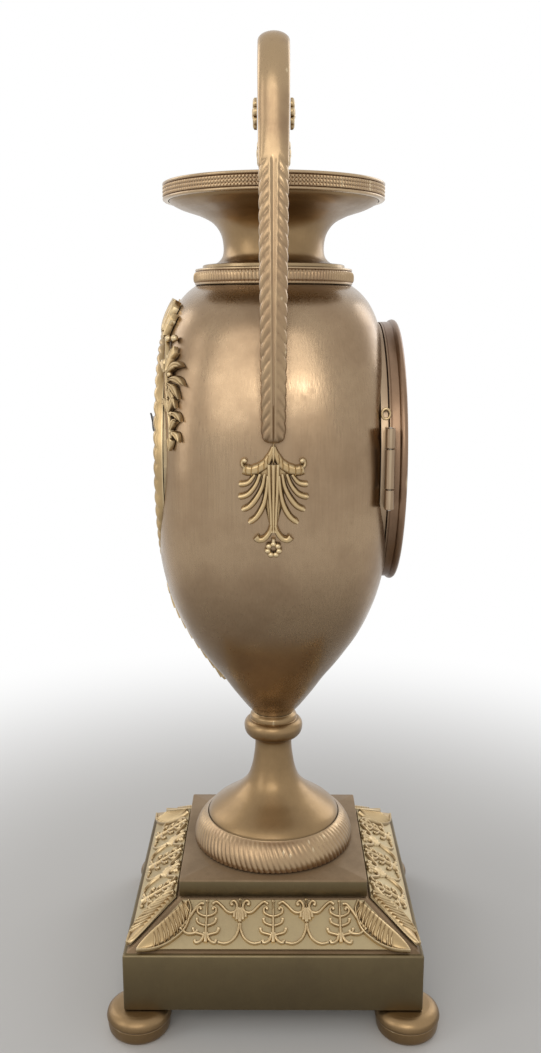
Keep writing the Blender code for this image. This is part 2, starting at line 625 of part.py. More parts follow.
# Neck, dish and rim
def make_neck():
    low = BODY_TOP + GAP
    bore = NECK_BORE
    collar = [(bore, low), (COLLAR_SEAT, low), (COLLAR_RADIUS, low + COLLAR_HEIGHT / 3),
              (COLLAR_RADIUS, low + COLLAR_HEIGHT * 2 / 3), (COLLAR_SEAT, COLLAR_TOP), (bore, COLLAR_TOP)]
    turned("neck_collar", collar, "gilt_matt", steps=ROUND + 8)
    spigot = bore - GAP
    waist = NECK_WAIST - PLATE_THICK
    rise = NECK_HEIGHT - NECK_STEP_HEIGHT
    start = NECK_BASE + NECK_STEP_HEIGHT
    basin = RIM_TOP - DISH_DEPTH
    profile = [(0.0, basin), (NECK_WAIST, basin + GAP),
               (DISH_RADIUS - 3 * DISH_LIP, DISH_EDGE - GAP), (DISH_RADIUS - DISH_LIP, RIM_TOP - DISH_LIP),
               (DISH_RADIUS - DISH_LIP, RIM_TOP - GAP), (DISH_RADIUS, RIM_TOP - GAP)]
    profile += [(NECK_WAIST + (DISH_RADIUS - NECK_WAIST) * out, start + rise * up)
                for up, out in reversed(NECK_SHARES)]
    profile += [(NECK_STEP, start), (NECK_STEP, NECK_BASE), (spigot, NECK_BASE),
                (spigot, BODY_TOP - BODY_WALL), (waist, BODY_TOP - BODY_WALL),
                (waist, basin - 3 * BODY_WALL), (0.0, basin - 3 * BODY_WALL)]
    turned("neck_dish", profile, "gilt", steps=ROUND + 8)
    inner = DISH_RADIUS + GAP
    rim = [(inner, DISH_EDGE), (RIM_RADIUS - GAP, DISH_EDGE), (RIM_RADIUS, DISH_EDGE + 2 * GAP),
           (RIM_RADIUS, RIM_TOP - 2 * GAP), (RIM_RADIUS - GAP, RIM_TOP), (inner, RIM_TOP)]
    turned("dish_rim", rim, "gilt_matt", steps=ROUND + 8)


# Handles
def handle_route():
    """Middle line of the right handle: up from the vase, over the rim, and in to a scroll."""
    reach = BODY_WIDTH + HANDLE_DEPTH / 2 + 2 * GAP
    base = LEAF_TOP + 3 * GAP
    foot = body_radii(base)[0] + HANDLE_DEPTH / 2 + GAP
    climb = RIM_TOP - base
    crook = HANDLE_RISE - HANDLE_DEPTH / 2
    climb_shares = ((1.04, 0.187), (1.065, 0.403), (1.055, 0.647), (1.0, 0.905))
    crook_shares = ((0.945, 0.243), (0.895, 0.671), (0.765, 0.983), (0.6, 0.95), (0.475, 0.638),
                    (0.48, 0.292), (0.6, 0.086), (0.715, 0.227), (0.7, 0.441))
    points = [Vector((foot, 0.0, base))]
    points += [Vector((reach * out, 0.0, base + climb * up)) for out, up in climb_shares]
    return points + [Vector((reach * out, 0.0, RIM_TOP + crook * up)) for out, up in crook_shares]


def smoothed(points, steps):
    """Points read from a smooth curve through the given ones."""
    ends = [2 * points[0] - points[1]] + points + [2 * points[-1] - points[-2]]
    found = []
    for a, b, c, d in zip(ends, ends[1:], ends[2:], ends[3:]):
        for k in range(steps):
            t = k / steps
            found.append(0.5 * (2 * b + (c - a) * t + (2 * a - 5 * b + 4 * c - d) * t * t
                                + (3 * b - a - 3 * c + d) * t * t * t))
    return found + [points[-1]]


def make_handles():
    route = smoothed(handle_route(), HANDLE_STEPS)
    last = len(route) - 1
    for name, side in (("right", 1), ("left", -1)):
        rings = []
        for k, point in enumerate(route):
            ahead = (route[min(k + 1, last)] - route[max(k - 1, 0)]).normalized()
            out = Vector((ahead.z, 0.0, -ahead.x))
            grown = min(k / last / 0.6, 1.0)
            shrink = 1.0 - 0.3 * max(k / last - 0.75, 0.0) / 0.25
            half = (HANDLE_FOOT_WIDTH + (HANDLE_WIDTH - HANDLE_FOOT_WIDTH) * grown) / 2
            ring = []
            for i in range(HANDLE_SIDES):
                angle = math.tau * (i + 0.5) / HANDLE_SIDES
                step = out * math.cos(angle) * HANDLE_DEPTH / 2 * shrink
                ring.append(point + step + Vector((0.0, math.sin(angle) * half, 0.0)))
            rings.append([Vector((side * p.x, p.y, p.z)) for p in ring])
        add("handle_" + name, lofted(rings), "gilt")
        back, face = leaf_grid("side", LEAF_TOP, LEAF_BOTTOM, LEAF_HALF, LEAF_SHARES, LEAF_THICK)
        mirror = Matrix.Scale(side, 3, Vector((1.0, 0.0, 0.0)))
        add("handle_leaf_" + name, slab([[mirror @ p for p in line] for line in back],
                                        [[mirror @ p for p in line] for line in face]), "gilt_matt")
        eye = route[-1]
        for face_name, way in (("front", -1), ("back", 1)):
            seat = way * (HANDLE_WIDTH / 2 + GAP)
            outer = seat + way * EYE_THICK
            middle = seat + way * EYE_THICK / 2
            profile = [(0.0, seat), (EYE_RADIUS, seat), (EYE_RADIUS, middle), (0.0, outer)]
            turned("handle_eye_%s_%s" % (name, face_name), profile, "gilt",
                   Vector((side * eye.x, 0.0, eye.z)), "Y", steps=16)


# Dial side
def make_front():
    pan_front = -(FRONT_PLANE + GAP + PAN_THICK)
    pan_back = -FRONT_PLANE - GAP
    profile = [(DIAL_HOLE, pan_front), (BEZEL_RADIUS, pan_front), (BEZEL_RADIUS, pan_back),
               (DIAL_HOLE, pan_back)]
    pan = turned("dial_pan", profile, "brass", DIAL_CENTRE, "Y", steps=ROUND + 8)
    edge = BEZEL_BORE - GAP
    face = []
    for share in (0.0, 0.35, 0.7, 1.0):
        radius = DIAL_HOLE + (edge - DIAL_HOLE) * share
        face.append((radius, -BEZEL_BACK - DIAL_THICK - DIAL_CROWN * (1 - share * share)))
    back = [(radius, min(place + DIAL_THICK, -BEZEL_BACK)) for radius, place in reversed(face)]
    dial = turned("dial", face + back, "enamel", DIAL_CENTRE, "Y", steps=ROUND + 8)
    for side in (-1, 1):
        hole = rod(KEY_HOLE, -BODY_DEPTH - CUT_RUN, 0.0, barrel_centre(side), "Y")
        cut(pan, hole.copy())
        cut(dial, hole)
    ring = [(BEZEL_BORE, -BEZEL_BACK), (BEZEL_BORE, -BEZEL_BACK - BEZEL_DEPTH / 2),
            ((BEZEL_BORE + BEZEL_RADIUS) / 2, -BEZEL_FACE), (BEZEL_RADIUS, -BEZEL_FACE + GAP),
            (BEZEL_RADIUS + GAP, -BEZEL_BACK - BEZEL_DEPTH / 2), (BEZEL_RADIUS, -BEZEL_BACK)]
    turned("front_bezel", ring, "gilt_matt", DIAL_CENTRE, "Y", steps=ROUND + 8)
    for name, side in (("right", 1), ("left", -1)):
        rings = []
        count = 14
        for k in range(count + 1):
            share = k / count
            angle = math.radians(SPRAY_START + (SPRAY_END - SPRAY_START) * share)
            swell = math.sin(math.pi * (k + 2) / (count + 3)) * (1.0 if k % 2 else SPRAY_PINCH_SHARE)
            ring = []
            for i in range(6):
                turn = math.tau * (i + 0.5) / 6
                radius = SPRAY_RADIUS + math.cos(turn) * SPRAY_WIDTH / 2 * swell
                x, z = radius * math.cos(angle), DIAL_HEIGHT + radius * math.sin(angle)
                stand = SPRAY_THICK * (1.0 + math.sin(turn)) / 2 + 2 * GAP
                point = body_point("front", x, z, stand)
                ring.append(Vector((side * point.x, point.y, point.z)))
            rings.append(ring)
        add("spray_" + name, lofted(rings), "gilt_matt")
    back_grid, face_grid = leaf_grid("front", DROP_TOP, DROP_BOTTOM, DROP_HALF, DROP_SHARES, DROP_THICK)
    add("front_drop_mount", slab(back_grid, face_grid), "gilt_matt")


def hand_outline(reach, angle):
    """A slender hand with a pierced eye and a collar about the arbor, pointing at a clock angle."""
    points = [(out * reach, up * reach) for up, out in HAND_SHARES]
    points = points + [(-x, z) for x, z in reversed(points[:-1])]
    low = [(math.sin(a) * -HAND_EYE / 2, -math.cos(a) * HAND_EYE / 2) for a in (1.2, 0.6, 0.0, -0.6, -1.2)]
    c, s = math.cos(angle), math.sin(angle)
    return [(x * c + z * s, z * c - x * s) for x, z in points + low]


def barrel_centre(side):
    return Vector((side * BARREL_ACROSS, 0.0, DIAL_HEIGHT - BARREL_DROP))


def wheel_on_arbor(name, centre, radius, face, arbor, low, high, extra=()):
    """A toothed wheel with its arbor as one turned piece. Extra steps are (radius, from, to)."""
    steps = [(low, arbor), *[edge for r, a, b in extra for edge in ((a, r), (b, arbor))]]
    steps += [(face, radius), (face + WHEEL_THICK, arbor)]
    steps.sort()
    profile = [(0.0, low)]
    before = 0.0
    for place, r in steps:
        if place > low:
            profile.append((before, place))
        profile.append((r, place))
        before = r
    profile += [(before, high), (0.0, high)]
    bm = spun(profile, centre, "Y", 2 * TEETH)
    for vert in bm.verts:
        off = Vector((vert.co.x - centre.x, 0.0, vert.co.z - centre.z))
        if off.length > radius - GAP:
            turn = round(math.atan2(off.z, off.x) / (math.tau / (2 * TEETH)))
            if turn % 2:
                vert.co -= off.normalized() * TOOTH
    return add(name, bm, "brass", centre)


# Movement
def make_movement():
    front = -FRONT_PLATE_FACE
    inside = front + PLATE_THICK
    plates = []
    for name, low in (("front_plate", front), ("back_plate", BACK_PLATE_FACE)):
        profile = [(ARBOR_HOLE + GAP, low), (PLATE_RADIUS, low), (PLATE_RADIUS, low + PLATE_THICK),
                   (ARBOR_HOLE + GAP, low + PLATE_THICK)]
        plates.append(turned(name, profile, "brass", DIAL_CENTRE, "Y"))
    pivots = [barrel_centre(-1), barrel_centre(1), DIAL_CENTRE + Vector((0.0, 0.0, PALLET_LIFT)),
              DIAL_CENTRE + Vector((0.0, 0.0, ESCAPE_LIFT)),
              DIAL_CENTRE + Vector((HAMMER_ACROSS, 0.0, HAMMER_LIFT))]
    for plate in plates:
        for pivot in pivots:
            cut(plate, rod(ARBOR_HOLE, -BODY_DEPTH, BODY_DEPTH, pivot, "Y", 10))
    for angle in (math.radians(turn) for turn in PILLAR_ANGLES):
        place = DIAL_CENTRE + Vector((math.cos(angle), 0.0, math.sin(angle))) * PILLAR_CIRCLE
        join(plates[0], rod(PILLAR_RADIUS, inside - PLATE_THICK / 2, BACK_PLATE_FACE - GAP, place, "Y", 10))
    square_end = -(BEZEL_BACK + DIAL_THICK)
    for name, side, tail in (("going_barrel", 1, GAP), ("strike_barrel", -1, STRIKE_TAIL)):
        centre = barrel_centre(side)
        drum_low = inside + 3 * PLATE_THICK
        wheel_face = drum_low + BARREL_LENGTH
        wheel_on_arbor(name, centre, GREAT_WHEEL, wheel_face, ARBOR_RADIUS, square_end,
                       MOVEMENT_BACK + tail, ((BARREL_RADIUS, drum_low, wheel_face - GAP / 2),))
        if side < 0:
            sleeve = ARBOR_RADIUS + GAP
            low = MOVEMENT_BACK + 2 * GAP
            high = low + WHEEL_THICK
            ring = [(sleeve, low), (COUNT_RADIUS, low), (COUNT_RADIUS, high), (sleeve, high)]
            turned("count_wheel", ring, "brass", centre, "Y", centre, ROUND)


def make_hands():
    hour_low = -HAND_PLANE - HAND_THICK
    minute_face = hour_low - 2 * GAP - HAND_THICK
    inside = -FRONT_PLATE_FACE + PLATE_THICK
    wheel_on_arbor("centre_wheel", DIAL_CENTRE, CENTRE_WHEEL, inside + PLATE_THICK * 3 / 2,
                   ARBOR_RADIUS - GAP, minute_face - 3 * GAP, MOVEMENT_BACK + GAP,
                   ((CENTRE_PINION, BACK_PLATE_FACE - 8 * PLATE_THICK, BACK_PLATE_FACE - 2 * PLATE_THICK),))
    pipe_back = -FRONT_PLATE_FACE - GAP
    wheel = -FRONT_PLATE_FACE - 2 * PLATE_THICK
    hour_front = hour_low - GAP
    profile = [(HOUR_BORE, hour_front), (HOUR_PIPE, hour_front), (HOUR_PIPE, wheel), (HOUR_WHEEL, wheel),
               (HOUR_WHEEL, wheel + WHEEL_THICK), (HOUR_PIPE, wheel + WHEEL_THICK), (HOUR_PIPE, pipe_back),
               (HOUR_BORE, pipe_back)]
    turned("hour_pipe", profile, "brass", DIAL_CENTRE, "Y", DIAL_CENTRE, 16)
    minute_angle = math.tau * MINUTE_SHOWN / 60
    hour_angle = math.tau * (HOUR_SHOWN + MINUTE_SHOWN / 60) / 12
    for name, reach, angle, low, hole in (
            ("hour_hand", HOUR_REACH, hour_angle, hour_low, HOUR_PIPE + GAP),
            ("minute_hand", MINUTE_REACH, minute_angle, minute_face, ARBOR_RADIUS)):
        blade = prism(hand_outline(reach, angle), low, low + HAND_THICK, DIAL_CENTRE)
        hand = add(name, blade, "blued_steel")
        join(hand, rod(HAND_EYE, low, low + HAND_THICK, DIAL_CENTRE, "Y", 20))
        cut(hand, rod(hole, low - CUT_RUN, low + CUT_RUN, DIAL_CENTRE, "Y", 12))
        hang(hand, DIAL_CENTRE)


def make_escapement():
    escape_centre = DIAL_CENTRE + Vector((0.0, 0.0, ESCAPE_LIFT))
    pallet_centre = DIAL_CENTRE + Vector((0.0, 0.0, PALLET_LIFT))
    face = BACK_PLATE_FACE - 3 * PLATE_THICK
    inside = -FRONT_PLATE_FACE + PLATE_THICK
    wheel_on_arbor("escape_wheel", escape_centre, ESCAPE_RADIUS, face, ARBOR_RADIUS,
                   inside - PLATE_THICK / 2, BACK_PLATE_FACE + PLATE_THICK / 2)
    crutch_face = PENDULUM_PLANE - PENDULUM_ROD - 2 * GAP - WHEEL_THICK
    anchor = add("anchor_crutch", rod(ARBOR_RADIUS, inside - PLATE_THICK / 2, crutch_face + WHEEL_THICK / 2,
                                      pallet_centre, "Y", 10), "steel")
    drop = PALLET_LIFT - ESCAPE_LIFT
    reach = ESCAPE_RADIUS + TOOTH
    outline = [(x * reach, z * drop) for x, z in ANCHOR_SHARES]
    join(anchor, prism(outline, face, face + WHEEL_THICK, pallet_centre))
    half = ANCHOR_BAR / 2
    join(anchor, box((-half, crutch_face, pallet_centre.z - CRUTCH_LENGTH),
                     (half, crutch_face + WHEEL_THICK, pallet_centre.z + 2 * half)))
    hang(anchor, pallet_centre)
    cock_low = pallet_centre.z + COCK_HEIGHT
    centre = Vector((0.0, PENDULUM_PLANE, 0.0))
    bob_z = pallet_centre.z - PENDULUM_LENGTH
    bob_bottom = bob_z - BOB_RADIUS
    nut = NUT_HEIGHT / 2
    rod_profile = [(0.0, bob_bottom - 3 * nut), (PENDULUM_ROD, bob_bottom - 3 * nut),
                   (PENDULUM_ROD, bob_bottom - GAP - nut), (3 * PENDULUM_ROD, bob_bottom - GAP - nut),
                   (3 * PENDULUM_ROD, bob_bottom - GAP), (PENDULUM_ROD, bob_bottom - GAP),
                   (PENDULUM_ROD, cock_low - 2 * GAP), (0.0, cock_low - 2 * GAP)]
    turned("pendulum_rod", rod_profile, "steel", centre, "Z", pallet_centre, 10)
    half_bob = BOB_THICK / 2
    lens = [(BOB_RADIUS * out, half_bob * deep) for out, deep in BOB_SHARES]
    lens = [(0.0, -half_bob)] + [(out, -deep) for out, deep in lens] + [lens[0], (0.0, half_bob)]
    bob = turned("pendulum_bob", lens, "brass", Vector((0.0, PENDULUM_PLANE, bob_z)), "Y", steps=24)
    cut(bob, rod(PENDULUM_ROD + GAP, bob_z - 2 * BOB_RADIUS, bob_z + 2 * BOB_RADIUS, centre, "Z", 10))
    hang(bob, pallet_centre)
    add("suspension_cock", box((-COCK_HALF, MOVEMENT_BACK + GAP, cock_low),
                               (COCK_HALF, PENDULUM_PLANE + COCK_HALF, cock_low + COCK_HEIGHT)), "brass")


def make_bell():
    centre = DIAL_CENTRE + Vector((BELL_ACROSS, 0.0, -BELL_DROP))
    top = BELL_FACE + BELL_DEPTH
    inside = BELL_RADIUS - BELL_WALL
    sleeve = ARBOR_RADIUS + GAP
    profile = [(BELL_RADIUS * out, BELL_FACE + BELL_DEPTH * up) for out, up in BELL_SHARES]
    profile += [(sleeve, top), (sleeve, top - BELL_WALL)]
    hollow = BELL_DEPTH - BELL_WALL
    profile += [(inside * out, BELL_FACE + hollow * up) for out, up in reversed(BELL_SHARES)]
    turned("bell", profile, "bell_metal", centre, "Y")
    foot = 3 * ARBOR_RADIUS
    stalk = 2 * ARBOR_RADIUS
    shoulder = top - BELL_WALL - GAP
    post = [(0.0, MOVEMENT_BACK + GAP), (foot, MOVEMENT_BACK + GAP), (foot, MOVEMENT_BACK + PLATE_THICK),
            (stalk, MOVEMENT_BACK + PLATE_THICK), (stalk, shoulder), (ARBOR_RADIUS, shoulder),
            (ARBOR_RADIUS, top + GAP), (0.0, top + GAP)]
    turned("bell_post", post, "brass", centre, "Y", steps=12)
    screw_low = top + 2 * GAP
    turned("bell_screw", [(0.0, screw_low), (2 * ARBOR_RADIUS, screw_low),
                          (2 * ARBOR_RADIUS, screw_low + WHEEL_THICK), (0.0, screw_low + WHEEL_THICK)],
           "steel", centre, "Y", steps=12)
    pivot = DIAL_CENTRE + Vector((HAMMER_ACROSS, 0.0, HAMMER_LIFT))
    face = BELL_FACE + BELL_WALL
    low = PLATE_THICK / 2 - FRONT_PLATE_FACE
    hammer = add("hammer", rod(ARBOR_RADIUS, low, face + 2 * WHEEL_THICK, pivot, "Y", 10), "steel")
    rim = Vector((centre.x - BELL_RADIUS - HAMMER_HEAD - 2 * GAP, 0.0, centre.z))
    way = rim - pivot
    way.y = 0.0
    way.normalize()
    aside = Vector((-way.z, 0.0, way.x)) * ARBOR_RADIUS / 2
    tip = way * (rim - pivot).length * HAMMER_ARM_SHARE
    outline = [(p.x, p.z) for p in (aside, aside + tip, tip - aside, -aside)]
    join(hammer, prism(outline, face, face + WHEEL_THICK, pivot))
    head = pivot + tip
    join(hammer, rod(HAMMER_HEAD, face - WHEEL_THICK / 2, face + 2 * WHEEL_THICK, head, "Y", 12))
    hang(hammer, pivot)


def make_straps():
    inner = PLATE_RADIUS + GAP
    for name, side in (("right", 1), ("left", -1)):
        low, high = sorted((side * inner, side * (inner + STRAP_THICK)))
        add("movement_strap_" + name, box((low, -FRONT_PLANE, DIAL_HEIGHT - STRAP_WIDTH / 2),
                                          (high, BACK_PLANE, DIAL_HEIGHT + STRAP_WIDTH / 2)), "brass")


# Back door
def make_door():
    ring_low = BACK_PLANE + GAP
    strap_seat = PLATE_RADIUS - 2 * GAP
    profile = [(strap_seat, ring_low), (DOOR_RADIUS, ring_low), (DOOR_RADIUS, BACK_RING_FACE),
               (DOOR_BORE, BACK_RING_FACE), (strap_seat, ring_low + BACK_RING_DEPTH / 2)]
    ring = turned("back_ring", profile, "aged_brass", DIAL_CENTRE, "Y", steps=ROUND + 8)
    hinge = Vector((HINGE_X, HINGE_Y, DIAL_HEIGHT))
    bead = DOOR_RADIUS + DOOR_BEAD
    inner = DOOR_RADIUS - DOOR_WALL
    crown = [(DOOR_RADIUS * out, DOOR_FACE + DOOR_CROWN * up) for out, up in DOOR_CROWN_SHARES]
    profile = crown + [(bead, DOOR_FACE - GAP), (bead, DOOR_FACE - 2 * DOOR_BEAD),
                       (DOOR_RADIUS, DOOR_FACE - 2 * DOOR_BEAD - GAP), (DOOR_RADIUS, DOOR_FRONT),
                       (inner, DOOR_FRONT), (inner, DOOR_FACE - DOOR_WALL)]
    profile += [(out, place - DOOR_WALL) for out, place in reversed(crown[:2])]
    door = turned("back_door", profile, "aged_brass", DIAL_CENTRE, "Y", steps=ROUND + 8)
    base = Vector((HINGE_X, HINGE_Y, 0.0))
    half = KNUCKLE_LONG / 2
    seat = DOOR_RADIUS - LEAF_PLATE
    ring_seat = DOOR_RADIUS - 3 * LEAF_PLATE
    near, far = LEAF_PLATE / 2, LEAF_PLATE * 3 / 2
    join(door, box((seat, HINGE_Y + near, DIAL_HEIGHT - half),
                   (HINGE_X, HINGE_Y + far, DIAL_HEIGHT + half)))
    join(door, rod(KNUCKLE_RADIUS, DIAL_HEIGHT - half, DIAL_HEIGHT + half, base, "Z", 12))
    ends = ((DIAL_HEIGHT + half + GAP, DIAL_HEIGHT + half + GAP + KNUCKLE_SHORT),
            (DIAL_HEIGHT - half - GAP - KNUCKLE_SHORT, DIAL_HEIGHT - half - GAP))
    for low, high in ends:
        join(ring, box((ring_seat, HINGE_Y - far, low), (HINGE_X, HINGE_Y - near, high)))
        join(ring, rod(KNUCKLE_RADIUS, low, high, base, "Z", 12))
    reach = half + KNUCKLE_SHORT + 2 * GAP
    run = reach + CUT_RUN
    for piece in (door, ring):
        cut(piece, rod(PIN_RADIUS + GAP, DIAL_HEIGHT - run, DIAL_HEIGHT + run, base, "Z", 12))
    hang(door, hinge)
    add("hinge_pin", rod(PIN_RADIUS, DIAL_HEIGHT - reach, DIAL_HEIGHT + reach, base, "Z", 8), "steel")
    low = DOOR_FACE + DOOR_CROWN
    knob = [(KNOB_RADIUS * out, low + KNOB_HEIGHT * up) for out, up in KNOB_SHARES]
    knob = [(0.0, low)] + knob + [(0.0, low + KNOB_HEIGHT)]
    place = DIAL_CENTRE - Vector((KNOB_PLACE, 0.0, 0.0))
    turned("door_knob", knob, "aged_brass", place, "Y", hinge, 14)


def clear_scene():
    for found in list(bpy.data.objects):
        bpy.data.objects.remove(found)


clear_scene()
make_feet()
make_plinth()
make_friezes()
make_stem()
make_body()
make_neck()
make_handles()
make_front()
make_movement()
make_hands()
make_escapement()
make_bell()
make_straps()
make_door()
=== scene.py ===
"""Looks of the gilt bronze urn clock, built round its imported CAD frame."""
import math

import bmesh
import bpy
from mathutils import Matrix, Vector


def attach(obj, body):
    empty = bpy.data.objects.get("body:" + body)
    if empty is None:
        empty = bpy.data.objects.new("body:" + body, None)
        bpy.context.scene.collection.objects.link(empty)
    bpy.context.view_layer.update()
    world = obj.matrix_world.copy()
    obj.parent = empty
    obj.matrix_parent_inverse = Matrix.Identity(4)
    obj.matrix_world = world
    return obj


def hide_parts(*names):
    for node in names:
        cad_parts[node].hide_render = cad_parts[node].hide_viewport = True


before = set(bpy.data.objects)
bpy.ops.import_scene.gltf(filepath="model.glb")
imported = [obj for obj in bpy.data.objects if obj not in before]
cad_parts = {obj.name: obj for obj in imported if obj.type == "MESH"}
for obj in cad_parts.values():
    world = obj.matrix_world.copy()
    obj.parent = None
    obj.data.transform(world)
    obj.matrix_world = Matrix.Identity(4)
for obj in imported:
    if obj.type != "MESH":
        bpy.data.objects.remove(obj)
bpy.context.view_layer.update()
MM = 0.001
CASE = "case"


def as_object(name, bm):
    """A linked object from a bmesh, which is freed."""
    mesh = bpy.data.meshes.new(name)
    bm.to_mesh(mesh)
    bm.free()
    made = bpy.data.objects.new(name, mesh)
    bpy.context.scene.collection.objects.link(made)
    return made


# Node helpers
def group(name, inputs, outputs):
    """A node group with named sockets: {name: default} in, [(name, type)] out."""
    tree = bpy.data.node_groups.new(name, "ShaderNodeTree")
    for label, value in inputs.items():
        kind = "NodeSocketColor" if isinstance(value, tuple) else "NodeSocketFloat"
        socket = tree.interface.new_socket(label, in_out="INPUT", socket_type=kind)
        socket.default_value = value
    for label, kind in outputs:
        tree.interface.new_socket(label, in_out="OUTPUT", socket_type=kind)
    return tree, tree.nodes.new("NodeGroupInput"), tree.nodes.new("NodeGroupOutput")


def node(tree, kind, settings=None, **values):
    """A shader node with its inputs set or linked: i2 is input number 2, Base_Color is "Base Color"."""
    made = tree.nodes.new("ShaderNode" + kind)
    for key, value in (settings or {}).items():
        setattr(made, key, value)
    for key, value in values.items():
        numbered = key[0] == "i" and key[1:].isdigit()
        socket = made.inputs[int(key[1:]) if numbered else key.replace("_", " ")]
        if isinstance(value, bpy.types.NodeSocket):
            tree.links.new(value, socket)
        else:
            socket.default_value = value
    return made


def maths(tree, operation, a, b=0.0, c=None, clamp=False):
    values = {"i0": a, "i1": b}
    if c is not None:
        values["i2"] = c
    return node(tree, "Math", {"operation": operation, "use_clamp": clamp}, **values).outputs[0]


def blend(tree, factor, a, b, mode="MIX"):
    """Colour mix: inputs 6 and 7 and output 2 are the colour sockets of the Mix node."""
    made = node(tree, "Mix", {"data_type": "RGBA", "blend_type": mode}, i0=factor, i6=a, i7=b)
    return made.outputs[2]


def over(tree, high, low, gain):
    """How far one value lies over another, times a gain, kept between 0 and 1."""
    return maths(tree, "MULTIPLY", maths(tree, "SUBTRACT", high, low), gain, clamp=True)


# Camera and light
FOCAL_PX, FRAME_PX, SENSOR = 1023.7, 1053.0, 36.0
EYE, PITCH, HEADING = (0.4054, 0.0002, 0.2732), 11.69, 90.2
WHITE = (1.0, 1.0, 1.0, 1.0)
DAYLIGHT = 0.5
AIM = Vector((0.0, 0.0, 0.18))
# Lamps: name, place, size, power in watts, colour
LAMPS = (
    ("key", (1.0, -0.15, 0.75), (0.9, 0.8), 3.0, (1.0, 0.97, 0.92)),
    ("glint", (0.5, 0.05, 0.45), (0.03, 0.03), 0.075, (1.0, 0.97, 0.9)),
    ("left", (0.45, -0.8, 0.5), (0.4, 0.8), 1.2, (1.0, 0.98, 0.95)),
    ("back", (-0.7, 0.75, 0.6), (0.6, 0.8), 2.0, (0.95, 0.97, 1.0)),
    ("front", (-0.5, -0.9, 0.7), (0.6, 0.8), 2.0, (1.0, 1.0, 1.0)))
FLOOR_HALF = 3.0
FLOOR_COLOUR, FLOOR_ROUGH = (0.6, 0.59, 0.575, 1.0), 0.9
SHADOW_END, WHITE_START = 0.12, 0.42


def looked_at(tree):
    """1 for camera, glossy and transmission rays, which see the studio white."""
    ray = node(tree, "LightPath").outputs
    sent_on = maths(tree, "MAXIMUM", ray["Is Glossy Ray"], ray["Is Transmission Ray"])
    return maths(tree, "MAXIMUM", ray["Is Camera Ray"], sent_on)


def make_camera():
    scene = bpy.context.scene
    lens = bpy.data.cameras.new("camera")
    lens.sensor_fit = "AUTO"
    lens.sensor_width = SENSOR
    lens.lens = SENSOR * FOCAL_PX / FRAME_PX
    lens.clip_start = 0.01
    eye = bpy.data.objects.new("camera", lens)
    scene.collection.objects.link(eye)
    eye.rotation_mode = "XYZ"
    eye.location = EYE
    eye.rotation_euler = (math.radians(90.0 - PITCH), 0.0, math.radians(HEADING))
    scene.camera = eye
    scene.view_settings.view_transform = "Standard"


def make_world():
    world = bpy.data.worlds.new("studio")
    bpy.context.scene.world = world
    world.use_nodes = True
    tree = world.node_tree
    tree.nodes.clear()
    lit = node(tree, "Background", Color=WHITE, Strength=DAYLIGHT)
    seen = node(tree, "Background", Color=WHITE, Strength=1.0)
    mix = node(tree, "MixShader", i0=looked_at(tree), i1=lit.outputs[0], i2=seen.outputs[0])
    node(tree, "OutputWorld", Surface=mix.outputs[0])


def make_lamps():
    for name, place, size, power, colour in LAMPS:
        lamp = bpy.data.lights.new(name, "AREA")
        lamp.shape = "ELLIPSE"
        lamp.size, lamp.size_y = size
        lamp.energy = power
        lamp.color = colour
        made = bpy.data.objects.new(name, lamp)
        made.location = place
        made.rotation_euler = (AIM - Vector(place)).to_track_quat("-Z", "Y").to_euler()
        bpy.context.scene.collection.objects.link(made)


def make_floor():
    """Pale floor: it keeps the clock's shadow, turns white further out and is clear from below."""
    bm = bmesh.new()
    bmesh.ops.create_grid(bm, x_segments=8, y_segments=8, size=FLOOR_HALF)
    floor = as_object("floor", bm)
    paint = bpy.data.materials.new("floor_paint")
    paint.use_nodes = True
    tree = paint.node_tree
    shader = tree.nodes["Principled BSDF"]
    shader.inputs["Base Color"].default_value = FLOOR_COLOUR
    shader.inputs["Roughness"].default_value = FLOOR_ROUGH
    place = node(tree, "NewGeometry").outputs
    reach = node(tree, "VectorMath", {"operation": "LENGTH"}, i0=place["Position"])
    fade = node(tree, "MapRange", {"interpolation_type": "SMOOTHSTEP"},
                Value=reach.outputs["Value"], From_Min=SHADOW_END, From_Max=WHITE_START)
    white = maths(tree, "MULTIPLY", fade.outputs[0], looked_at(tree))
    glow = node(tree, "Emission")
    mix = node(tree, "MixShader", i0=white, i1=shader.outputs[0], i2=glow.outputs[0])
    clear = node(tree, "BsdfTransparent")
    below = node(tree, "MixShader", i0=place["Backfacing"], i1=mix.outputs[0], i2=clear.outputs[0])
    tree.links.new(below.outputs[0], tree.nodes["Material Output"].inputs["Surface"])
    floor.data.materials.append(paint)


# Shared shader effects
# Aged metal: pointiness of a rubbed edge, which also gets a painted sheen, and of a sunk corner, which gets
# painted shade with grime, how fast both set in, the pale rubbed-and-sheen colour, lacquer
WORN_SHEEN_ABOVE, SUNK_BELOW, EDGE_GAIN = 0.52, 0.49, 9.0
BARE_METAL_SHEEN = (1.0, 0.86, 0.58, 1.0)
LACQUER_WEIGHT, LACQUER_ROUGH = 0.15, 0.12
# Enamel: colour, half width and depth of its crazing, how far clouds darken it, and its glaze
CRAZE_COLOUR, CRAZE_WIDTH, CRAZE_DEPTH = (0.3, 0.22, 0.15, 1.0), 0.006, 0.13
CLOUDED = 0.93
GLAZE_WEIGHT, GLAZE_ROUGH = 0.6, 0.05


